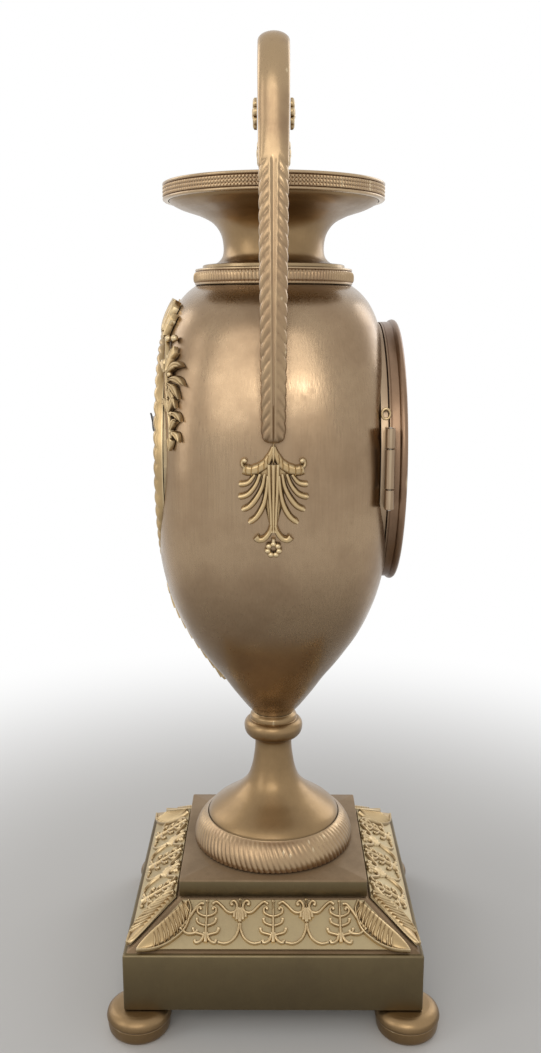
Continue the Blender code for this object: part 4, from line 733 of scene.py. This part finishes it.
def make_neck():
    def flute(turn, radius, place):
        if FLUTED[0] < place < FLUTED[1]:
            return radius - 0.3 * abs(math.sin(FLUTES * turn)), place
        return radius, place
    reed = curve([(30.4, 285.1), (30.75, 285.8), (30.8, 286.9), (30.7, 288.0), (30.3, 288.8)], 3)
    collar = [(24.0, 284.3), (30.1, 284.3), (30.3, 284.7), (30.2, 285.0), *reed, (30.0, 289.0), (29.8, 289.2),
              (30.1, 289.4), (30.1, 289.9), (29.9, 290.1), (24.0, 290.1), (24.0, 284.3)]
    bm = lathe(collar, count=12 * FLUTES, wave=flute)
    piece("reeded_collar", bm, "handle", instead="neck_collar", sharp=60)
    outer = curve([(39.6, 315.0), (38.4, 313.9), (35.1, 312.3), (31.0, 311.0), (27.4, 309.7), (23.0, 307.2),
                   (20.2, 303.4), (19.2, 299.0), (19.5, 295.2), (21.2, 292.9), (23.4, 291.9)], 5)
    profile = [(0, 311.9), (19.2, 312.2), (28.0, 313.0), (34.2, 314.7), (36.6, 317.0), (37.8, 319.6),
               (37.8, 320.8), (38.1, 321.1), (39.3, 321.1), (39.6, 320.8), *outer, (23.8, 291.7),
               (26.7, 291.7), (27.2, 291.4), (27.2, 290.4), (23.7, 290.4), (23.7, 282.4), (17.7, 282.4),
               (17.7, 307.1), (0, 307.1)]
    piece("flared_dish", lathe(profile), "turned", instead="neck_dish")

    def milled(turn, radius, place):
        if not MILLED_FOOT < place < MILLED_FOOT + MILLED_HEIGHT:
            return radius, place
        row = abs(math.sin((place - MILLED_FOOT) / MILLED_HEIGHT * math.pi * MILLED_ROWS))
        dot = 0.35 + 0.65 * abs(math.cos(MILLED_DOTS * turn)) ** 0.8 * row ** 0.6
        return MILLED_ROOT + (radius - MILLED_ROOT) * dot, place
    band = [(41.99, MILLED_FOOT + MILLED_HEIGHT * k / 18) for k in range(1, 18)]
    rim = [(39.9, 315.0), (41.5, 315.0), (41.9, 315.3), (42.0, 315.6), (41.8, 316.0), (41.4, 316.2), *band,
           (41.4, 320.2), (41.8, 320.4), (42.0, 320.8), (41.9, 321.2), (41.5, 321.4), (39.9, 321.4),
           (39.9, 315.0)]
    bm = lathe(rim, count=12 * MILLED_DOTS, wave=milled)
    piece("milled_rim", bm, "handle", instead="dish_rim", sharp=60)


# Handles
REACH, BASE, CLIMB = 61.55, 230.5, 90.9
RIM_TOP, CROOK = 321.4, 39.5
# Share of the reach, share of the climb or of the crook's height
CLIMB_SHARES = ((1.04, 0.187), (1.065, 0.403), (1.055, 0.647), (1.0, 0.905))
CROOK_SHARES = ((0.945, 0.243), (0.895, 0.671), (0.765, 0.983), (0.6, 0.95), (0.475, 0.638), (0.48, 0.292),
                (0.6, 0.086), (0.715, 0.227), (0.7, 0.441))
HANDLE_DEEP, HANDLE_FOOT, HANDLE_GAIN = 3.08, 8.4, 2.2
FACE_STEPS, BACK_STEPS, ROUTE_STEP = 46, 14, 0.33
LEAF_LONG, LEAFLET = 93.0, 4.3
BOSS_UP, BOSS_SIDES = 3.4, 28


def handle_section(along, whole):
    """Points (out, across) of the handle's outline, with the chased leaf on the outer face low down."""
    share = along / whole
    half_w = (HANDLE_FOOT + HANDLE_GAIN * min(share / 0.6, 1.0)) / 2
    half_d = HANDLE_DEEP * (1.0 - 0.3 * max(share - 0.75, 0.0) / 0.25)
    near_end = min(along / 3.6, (whole - along) / 2.0, 1.0)
    close = math.sqrt(max(1 - (1 - near_end) ** 2, 0.0))
    leafy = min(max((LEAF_LONG - along) / 2.5, 0.0), 1.0)
    gully = 0.42 + 0.65 * min(along / LEAF_LONG, 1.0) ** 1.5
    flat = 2.0 + 1.2 * min(max((104.0 - along) / 14.0, 0.0), 1.0)
    found = []
    for i in range(FACE_STEPS + BACK_STEPS):
        faced = i <= FACE_STEPS
        t = 2 * i / FACE_STEPS - 1 if faced else 1 - 2 * (i - FACE_STEPS) / BACK_STEPS
        u = math.sin(math.pi / 2 * t)
        v = max(1 - abs(u) ** flat, 0.0) ** (1 / flat)
        off = (v if faced else -v) * half_d
        from_middle = abs(u) * half_w
        phase = (along + 5.5 * abs(u) ** 1.3) / LEAFLET
        ridge = 1 - abs(math.sin(math.pi * phase)) ** 0.6
        if faced:
            lobe = min(max((from_middle - gully - 0.5) / 0.5, 0.0), 1.0)
            line = math.exp(-((from_middle - gully - 0.28) / 0.22) ** 2)
            dip = math.exp(-(from_middle / (gully * 0.75)) ** 4)
            off -= leafy * (0.62 * ridge * lobe + 0.4 * dip - 0.12 * line) * min(v / 0.4, 1.0)
        found.append((off * close, u * (half_w - leafy * 0.36 * ridge) * close))
    return found


def make_rosettes(name, side, eye):
    def petals(turn, radius, place):
        lobe = abs(math.cos(4 * turn)) ** 0.5
        grow = 0.72 + 0.28 * lobe if radius > 2.2 else 1.0
        return radius * grow, place
    face = curve([(5.1, 0.1), (5.0, 0.9), (4.0, 1.35), (3.0, 1.0), (2.3, 0.7), (1.9, 1.3), (1.2, 1.6),
                  (0.5, 1.6)], 3)
    for face_name, way in (("front", -1), ("back", 1)):
        seat = way * 5.6
        profile = [(0.0, seat), (5.1, seat)] + [(r, seat + way * lift) for r, lift in face]
        profile.append((0.0, seat + way * 1.6))
        bm = lathe(profile, (side * eye[0], 0, eye[1]), "Y", 64, petals)
        node_name = "handle_eye_%s_%s" % (name, face_name)
        piece("rosette_%s_%s" % (name, face_name), bm, "relief", instead=node_name)


def make_handle(name, side):
    points = [(radii(BASE)[0] + 3.5, BASE)]
    points += [(REACH * out, BASE + CLIMB * up) for out, up in CLIMB_SHARES]
    points += [(REACH * out, RIM_TOP + CROOK * up) for out, up in CROOK_SHARES]
    rough = curve(points, 60)
    route = [rough[0]]
    for point in rough[1:]:
        if math.dist(point, route[-1]) > ROUTE_STEP:
            route.append(point)
    length = [0.0]
    for a, b in zip(route, route[1:]):
        length.append(length[-1] + math.dist(a, b))
    bm = bmesh.new()
    rings = []
    last = len(route) - 1
    for k, (x, z) in enumerate(route):
        a, b = route[max(k - 1, 0)], route[min(k + 1, last)]
        ahead = Vector((b[0] - a[0], b[1] - a[1])).normalized()
        rings.append([bm.verts.new(Vector((side * (x + ahead.y * off), across, z - ahead.x * off)) * MM)
                      for off, across in handle_section(length[k], length[-1])])
    capped(bm, rings)
    boss_z = BASE + BOSS_UP
    inner = radii(boss_z)[0] - 0.8
    outer = next(x for x, z in route if z > boss_z)
    turns = [math.tau * i / BOSS_SIDES for i in range(BOSS_SIDES)]
    capped(bm, [[bm.verts.new(Vector((side * x, r * math.cos(turn), boss_z + r * math.sin(turn))) * MM)
                 for turn in turns] for x, r in ((inner, 3.3), (inner + 1.3, 3.1), (outer, 2.9))])
    piece("scroll_handle_" + name, bm, "handle", instead="handle_" + name, sharp=60)
    make_rosettes(name, side, points[-1])


# Leaf mount under each handle, in (across, height); the fingers go from the middle outwards
LOBE = ((0.0, 229.0), (1.1, 226.0), (2.7, 223.4), (5.0, 221.8), (7.7, 221.0), (10.3, 221.5))
FINGERS = (
    ((6.4, 219.6), (8.2, 217.2), (10.0, 216.4), (11.8, 216.3)),
    ((4.6, 219.8), (6.0, 216.2), (8.2, 213.3), (10.2, 212.2), (12.0, 211.9)),
    ((3.0, 219.8), (3.8, 215.7), (5.5, 212.0), (8.0, 208.8), (10.8, 207.3)),
    ((1.9, 219.2), (2.5, 213.2), (3.6, 208.8), (5.7, 205.0), (8.4, 202.8)))
LOW_LOBE = ((0.7, 202.0), (1.5, 199.2), (3.2, 197.2), (5.0, 196.8), (6.1, 197.8))


def scallop(s):
    return (0.95 + 1.15 * math.sin(math.pi * min(s * 0.78, 0.5))) * (1.0 - 0.08 * abs(math.sin(14 * s)))


def finger_width(s):
    return 0.75 + 0.42 * min(s * 1.6, 1.0) - 0.4 * max(s - 0.93, 0) / 0.07


def make_palmette(name, side):
    place = on_side(side)
    bm = bmesh.new()

    def leaf(points, steps, widths, height, way=1, **more):
        strip(bm, curve(mirrored(points, way), steps), widths, height, place, **more)
    leaf([(0, 223.0), (0, 216.0), (0, 208.0), (0, 202.0)], 6, lambda s: 5.6 - 4.2 * s, 1.0, rib=0)
    for u in (-0.95, 0.0, 0.95):
        stem = [(u * 1.7, 223.0), (u * 1.4, 214.0), (u, 207.0), (u * 0.7, 199.5)]
        leaf(stem, 6, lambda s: 0.95 - 0.25 * s, 1.7, rib=0)
    leaf([(0, 230.3), (0, 228.0), (0, 225.4), (0, 222.6)], 5, leaf_width(0.9, 0.4), 2.1, rib=0)
    for way in (-1, 1):
        leaf(LOBE, 7, scallop, 1.9, way, across=8, rib=0.12)
        for k in range(5):
            share = 0.28 + 0.16 * k
            u, v = curve(LOBE, 7)[round(share * 35)]
            bar = [(u * way, v + 1.5), ((u + 0.3) * way, v), ((u + 0.2) * way, v - 1.6)]
            strip(bm, bar, 0.34, 2.1, place, 4, 0)
        curl = [(9.6, 221.8), (10.7, 223.0), (10.4, 224.6), (9.5, 224.5)]
        leaf(curl, 4, lambda s: 0.85 - 0.2 * s, 1.9, way, across=4, rib=0)
        ball(bm, place(9.8 * way, 224.4, 1.1), 1.0 * MM)
        for finger in FINGERS:
            leaf(finger, 7, finger_width, 1.6, way, rib=0)
        leaf(LOW_LOBE, 6, lambda s: 0.75 + 0.7 * s ** 0.7, 2.0, way, rib=0.1)
    for k in range(7):
        turn = math.tau * k / 7
        ball(bm, place(2.0 * math.sin(turn), 193.3 + 2.0 * math.cos(turn), 0.7), 1.15 * MM)
    strip(bm, [(0.0, 197.2), (0.0, 195.8)], 0.8, 1.6, place, rib=0)
    piece("palmette_" + name, bm, "relief", instead="handle_leaf_" + name, sharp=60)


# Spray beside the dial in (degrees above level, radius): leaves as (root, tip, half width), buds with a
# radius of their own
SPRAY_STEM = ((9.0, 51.6), (17.0, 52.0), (26.0, 52.2), (35.0, 53.0), (44.0, 54.2), (53.0, 55.0), (62.0, 54.4),
              (70.0, 52.4))
SPRAY_LEAVES = (
    ((60.0, 54.0), (84.0, 54.6), 2.5), ((60.0, 54.5), (77.0, 58.8), 2.5), ((58.0, 55.0), (67.0, 61.6), 2.4),
    ((55.0, 55.0), (58.5, 61.4), 2.0), ((62.0, 54.0), (76.0, 51.6), 1.7), ((54.0, 54.6), (63.0, 51.8), 1.4),
    ((38.0, 54.0), (45.0, 58.8), 1.5), ((37.0, 54.0), (36.5, 59.0), 1.7), ((34.0, 54.0), (29.5, 57.8), 1.3),
    ((33.0, 53.4), (25.5, 55.8), 1.1), ((38.0, 53.0), (45.0, 51.4), 1.3), ((31.0, 53.0), (22.5, 54.6), 1.0),
    ((22.0, 52.4), (26.5, 55.0), 1.0), ((21.0, 52.4), (17.5, 55.0), 1.0), ((22.0, 52.0), (28.0, 50.6), 0.9),
    ((15.0, 52.2), (18.0, 54.2), 0.9), ((14.0, 52.0), (10.0, 54.0), 0.9), ((12.0, 51.8), (7.0, 51.4), 1.0))
SPRAY_BUDS = ((51.5, 56.4, 1.25), (48.5, 59.2, 1.35), (36.0, 54.6, 1.0), (29.5, 53.6, 0.8), (21.0, 53.0, 0.9),
              (13.5, 52.6, 0.85))


def round_dial(turn, radius):
    """(across, height) of a point given in degrees above level and mm from the dial's centre."""
    return radius * math.cos(math.radians(turn)), DIAL_Z + radius * math.sin(math.radians(turn))


def make_spray(name, side):
    def place(x, z, lift):
        at = on_front(x, z, lift)
        return Vector((side * at.x, at.y, at.z))
    bm = bmesh.new()
    stem = curve([round_dial(turn, radius) for turn, radius in SPRAY_STEM], 6)
    strip(bm, stem, 0.5, 1.5, place, 4, 0.0)
    for root, tip, half in SPRAY_LEAVES:
        middle = ((root[0] * 0.45 + tip[0] * 0.55) + 1.5, root[1] * 0.4 + tip[1] * 0.6)
        line = curve([round_dial(*root), round_dial(*middle), round_dial(*tip)], 7)
        strip(bm, line, leaf_width(half, 0.42, 0.3), 1.5 + 0.45 * half, place, 8, 0.22)
        a, b = line[4], line[7]
        for way in (-1, 1):
            nick = (b[0] - way * (b[1] - a[1]) * 0.9, b[1] + way * (b[0] - a[0]) * 0.9)
            between = ((a[0] + nick[0]) / 2, (a[1] + nick[1]) / 2)
            width = leaf_width(half * 0.55, 0.5, 0.5)
            strip(bm, [a, between, nick], width, 1.2 + 0.4 * half, place, 6, 0.15)
    for turn, radius, size in SPRAY_BUDS:
        ball(bm, place(*round_dial(turn, radius), 0.9), size * MM)
    piece("leaf_spray_" + name, bm, "relief", instead="spray_" + name, sharp=60)


# Mount under the dial
DROP_ROWS = 8


def make_drop():
    bm = bmesh.new()
    strip(bm, curve([(0, 167.6), (0, 155.0), (0, 140.0), (0, 125.4)], 16), lambda s: 1.7 - 0.8 * s,
          lambda s: 2.1 + 0.5 * abs(math.sin(8 * math.pi * s)) ** 0.7, on_front, rib=0.1)
    for k in range(DROP_ROWS):
        share = k / (DROP_ROWS - 1)
        z = 164.0 - 32.0 * share
        size = 12.4 * (1 - 0.72 * share) + 0.8
        width = leaf_width(2.5 * (1 - 0.45 * share), 0.5, 0.5)
        for way in (-1, 1):
            lobe = [(0.4 * way, z + 3.4), (size * 0.4 * way, z + 2.4), (size * 0.8 * way, z - 0.6),
                    (size * way, z - 4.2)]
            strip(bm, curve(lobe, 6), width, 2.2, on_front, rib=0.35)
            ball(bm, on_front(size * 0.97 * way, z - 4.3, 0.4), (1.1 - 0.4 * share) * MM)
    for way in (-1, 1):
        scroll = [(0.6 * way, 166.0), (4.0 * way, 168.2), (8.6 * way, 168.4), (10.6 * way, 165.8),
                  (9.0 * way, 164.2)]
        strip(bm, curve(scroll, 6), lambda s: 1.3 - 0.5 * s, 2.2, on_front, rib=0.2)
    ball(bm, on_front(0, 167.0, 1.0), 1.9 * MM)
    piece("acanthus_drop", bm, "relief", instead="front_drop_mount", sharp=60)


# Dial: its centre hole, how far the enamel reaches from there, its back, thickness and dome
HOLE, SPAN, BACK, THICK, DOME = 2.6, 41.6, 39.0, 1.2, 2.6
KEY_ACROSS, KEY_Z = 17.0, 209.9
INK_LOW, INK_HIGH = -0.05, 0.06
FIGURE_FOOT, FIGURE_TOP = 28.2, 35.4
FIGURES = ("XII", "I", "II", "III", "IIII", "V", "VI", "VII", "VIII", "IX", "X", "XI")
ADVANCE = {"I": 2.15, "V": 4.3, "X": 4.3}
# Strokes of each sign: across at the foot, across at the top, thickness
STROKES = {"I": ((0, 0, 1.05),), "V": ((0, -1.5, 1.0), (0, 1.5, 0.35)),
           "X": ((1.5, -1.5, 1.0), (-1.5, 1.5, 0.35))}
MINUTES, TICK_FOOT, TICK_TOP, TRACK_RINGS = 60, 38.2, 40.2, (38.1, 40.3)
BEZEL_MIDDLE, BEZEL_LOBES, BEZEL_TWIST = 46.4, 27, 0.55


def dial_depth(radius):
    share = min(max((radius - HOLE) / SPAN, 0.0), 1.0)
    return -(BACK + THICK + DOME * (1 - share * share))


def on_dial(x, z, lift):
    return Vector((x, dial_depth(math.hypot(x, z)) - lift, DIAL_Z + z)) * MM


def ink_bar(bm, corners, spin, count=4):
    """A four-cornered stroke of ink laid over the dome, turned clockwise by spin."""
    c, s = math.cos(spin), math.sin(spin)
    flat = [(x * c + z * s, z * c - x * s) for x, z in corners]
    low, high = [], []
    for k in range(count + 1):
        t = k / count
        for line, lift in ((low, INK_LOW), (high, INK_HIGH)):
            left = [flat[0][i] + (flat[3][i] - flat[0][i]) * t for i in (0, 1)]
            right = [flat[1][i] + (flat[2][i] - flat[1][i]) * t for i in (0, 1)]
            line.append([bm.verts.new(on_dial(*left, lift)), bm.verts.new(on_dial(*right, lift))])
    for k in range(count):
        bm.faces.new((high[k][0], high[k][1], high[k + 1][1], high[k + 1][0]))
        bm.faces.new((low[k][1], low[k][0], low[k + 1][0], low[k + 1][1]))
        bm.faces.new((low[k][0], high[k][0], high[k + 1][0], low[k + 1][0]))
        bm.faces.new((high[k][1], low[k][1], low[k + 1][1], high[k + 1][1]))
    for k in (0, count):
        bm.faces.new((low[k][0], low[k][1], high[k][1], high[k][0]))


def stroke(bm, x, z, top_x, top_z, thick, spin):
    h = thick / 2
    ink_bar(bm, [(x - h, z), (x + h, z), (top_x + h, top_z), (top_x - h, top_z)], spin)


def make_figures():
    bm = bmesh.new()
    for hour, sign in enumerate(FIGURES):
        spin = math.tau * hour / 12
        start = -sum(ADVANCE[c] for c in sign) / 2
        for c in sign:
            x = start + ADVANCE[c] / 2
            for foot, top, thick in STROKES[c]:
                stroke(bm, x + foot, FIGURE_FOOT, x + top, FIGURE_TOP, thick, spin)
            start += ADVANCE[c]
    for k in range(MINUTES):
        thick = 0.9 if k % 5 == 0 else 0.3
        stroke(bm, 0, TICK_FOOT, 0, TICK_TOP, thick, math.tau * k / MINUTES)
    for radius in TRACK_RINGS:
        inner, outer = radius - 0.1, radius + 0.1
        for k in range(MINUTES):
            a, b = math.tau * k / MINUTES, math.tau * (k + 1) / MINUTES
            corners = ((inner, a), (outer, a), (outer, b), (inner, b))
            ink_bar(bm, [(r * math.sin(t), r * math.cos(t)) for r, t in corners], 0.0)
    piece("dial_figures", bm, "ink", sharp=30)


def make_dial():
    centre = (0, 0, DIAL_Z)
    face = [(r, dial_depth(r)) for r in [HOLE + SPAN * k / 16 for k in range(17)]]
    back = [(r, min(y + THICK, -BACK)) for r, y in reversed(face)]
    plate = piece("enamel_plate", lathe(face + back + face[:1], centre, "Y"), "enamel", instead="dial")
    drill = [(0, -50), (2.6, -50), (2.6, -30), (0, -30)]
    eyelet = [(2.05, -42.1), (2.5, -42.4), (3.1, -42.5), (3.6, -42.3), (3.75, -41.9), (2.3, -41.2),
              (2.05, -42.1)]
    for name, way in (("left", -1), ("right", 1)):
        at = (KEY_ACROSS * way, 0, KEY_Z)
        cut_with(plate, lathe(drill, at, "Y", 40), "key_hole")
        piece("key_hole_ring_" + name, lathe(eyelet, at, "Y", 40), "brass")
    make_figures()
    rope = curve([(44.5, -39.0), (44.6, -40.6), (45.3, -42.0), (46.5, -42.5), (47.7, -42.1), (48.4, -40.9),
                  (48.4, -39.0)], 3)

    def twist(turn, radius, place):
        lobe = abs(math.cos(BEZEL_LOBES * turn + (radius - BEZEL_MIDDLE) * BEZEL_TWIST))
        deep = (-BACK - place) / 3.5
        return radius, place + 0.95 * deep * (1 - lobe ** 0.6)
    bm = lathe(rope + rope[:1], centre, "Y", 20 * BEZEL_LOBES, twist)
    piece("rope_bezel", bm, "relief", instead="front_bezel", sharp=60)


# Back door
HINGE = (52.0, 40.55, 0.0)
EYE_AT, EYE_RADIUS, EYE_WIRE, EYE_STRETCH = Vector((46.9, 39.35, 239.2)), 1.45, 0.42, 1.25
EYE_SIDES, WIRE_SIDES = 28, 10


def knuckle(bm, low, high):
    tube = [(1.0, low), (1.5, low), (1.7, low + 0.2), (1.7, high - 0.2), (1.5, high), (1.0, high), (1.0, low)]
    lathe(tube, HINGE, "Z", 40, bm=bm)


def make_hinge_eye():
    bm = bmesh.new()
    rings = []
    for i in range(EYE_SIDES):
        turn = math.tau * i / EYE_SIDES
        out = Vector((0.0, math.cos(turn), math.sin(turn) * EYE_STRETCH))
        ring = []
        for k in range(WIRE_SIDES):
            round_wire = math.tau * k / WIRE_SIDES
            at = EYE_AT + out * (EYE_RADIUS + EYE_WIRE * math.cos(round_wire))
            ring.append(bm.verts.new((at + Vector((EYE_WIRE * math.sin(round_wire), 0.0, 0.0))) * MM))
        rings.append(ring)
    bridge(bm, rings, close=True)
    piece("hinge_eye", bm, "relief")


def make_door():
    centre = (0, 0, DIAL_Z)
    ring = [(35.4, 37.7), (50.0, 37.7), (50.0, 40.1), (49.7, 40.4), (41.3, 40.4), (41.0, 40.1), (35.4, 39.0),
            (35.4, 37.7)]
    hoop = lathe(ring, centre, "Y")
    for low, high in ((227.8, 234.8), (206.2, 213.2)):
        knuckle(hoop, low, high)
        block(hoop, (47.0, 39.0, low), (51.2, 39.9, high))
    piece("door_seat_ring", hoop, "door", instead="back_ring")
    make_hinge_eye()
    bead = curve([(48.2, 46.35), (48.9, 47.0), (49.9, 47.1), (50.7, 46.5), (50.9, 45.6), (50.6, 44.8),
                  (50.1, 44.4)], 4)
    face = [(0, 47.5), (16, 47.45), (30, 47.25), (40, 46.95), (45.6, 46.6), (46.4, 46.5), (46.8, 46.1),
            (47.3, 45.95), (47.8, 46.1), *bead, (50.0, 44.2), (50.0, 41.6), (49.85, 41.45), (49.85, 41.25),
            (50.0, 41.1), (50.0, 40.8), (49.9, 40.7), (48.7, 40.7), (48.7, 45.0), (30, 45.95), (0, 46.2)]
    door = lathe(face, centre, "Y", 180)
    knuckle(door, 213.5, 227.5)
    block(door, (49.0, 41.2, 213.5), (51.2, 42.0, 227.5))
    piece("door_dish", door, "door", "door_body", "back_door")
    knob = curve([(1.5, 0.0), (1.4, 0.8), (1.9, 1.3), (2.5, 1.9), (2.4, 2.5), (1.6, 2.95), (0.6, 3.0)], 4)
    profile = [(0, 47.0), (1.5, 47.0)] + [(r, 47.5 + up * 0.98) for r, up in knob] + [(0, 50.44)]
    bm = lathe(profile, (-41.0, 0, DIAL_Z), "Y", 48)
    piece("door_knob_turned", bm, "door", "door_body", "door_knob")


def make_bell():
    cup = curve([(20.0, 19.0), (19.8, 21.0), (19.1, 23.6), (16.9, 26.6), (13.4, 28.5), (9.0, 29.5),
                 (4.5, 29.9), (1.5, 30.0)], 4)
    hollow = curve([(1.5, 29.0), (4.5, 28.9), (9.0, 28.5), (13.0, 27.5), (16.2, 25.7), (18.2, 23.0),
                    (18.9, 20.8), (19.0, 19.0)], 4)
    bm = lathe(cup + hollow + cup[:1], (14.0, 0.0, 217.51), "Y", 96)
    piece("bell_cup", bm, "bell", instead="bell")


# Pieces that keep their CAD shape
KEPT = {
    "iron": ("base_plate",),
    "pan": ("dial_pan",),
    "blued": ("hour_hand", "minute_hand"),
    "steel": ("tie_rod", "tie_nut_lower", "tie_nut_upper", "anchor_crutch", "pendulum_rod", "bell_screw",
              "hammer", "hinge_pin"),
    "brass": ("front_plate", "back_plate", "going_barrel", "strike_barrel", "count_wheel", "centre_wheel",
              "hour_pipe", "escape_wheel", "pendulum_bob", "suspension_cock", "bell_post",
              "movement_strap_right", "movement_strap_left")}


def finish_kept():
    for name, look in [(name, look) for look, names in KEPT.items() for name in names]:
        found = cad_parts[name]
        found.data.materials.clear()
        found.data.materials.append(LOOKS[look])
        found.data.shade_smooth()
        found.data.set_sharp_from_angle(angle=math.radians(35))
        soften = found.modifiers.new("soften", "BEVEL")
        soften.width = 0.12 * MM
        soften.segments = 2
        soften.limit_method = "ANGLE"
        soften.angle_limit = math.radians(40)


make_camera()
make_world()
make_lamps()
make_floor()
make_feet()
make_plinth()
for number, label in enumerate(("front", "right", "back", "left")):
    make_frieze(label, number * math.pi / 2)
make_stem()
make_body()
make_neck()
for label, flank in (("right", 1), ("left", -1)):
    make_handle(label, flank)
    make_palmette(label, flank)
    make_spray(label, flank)
make_drop()
make_dial()
make_door()
make_bell()
finish_kept()
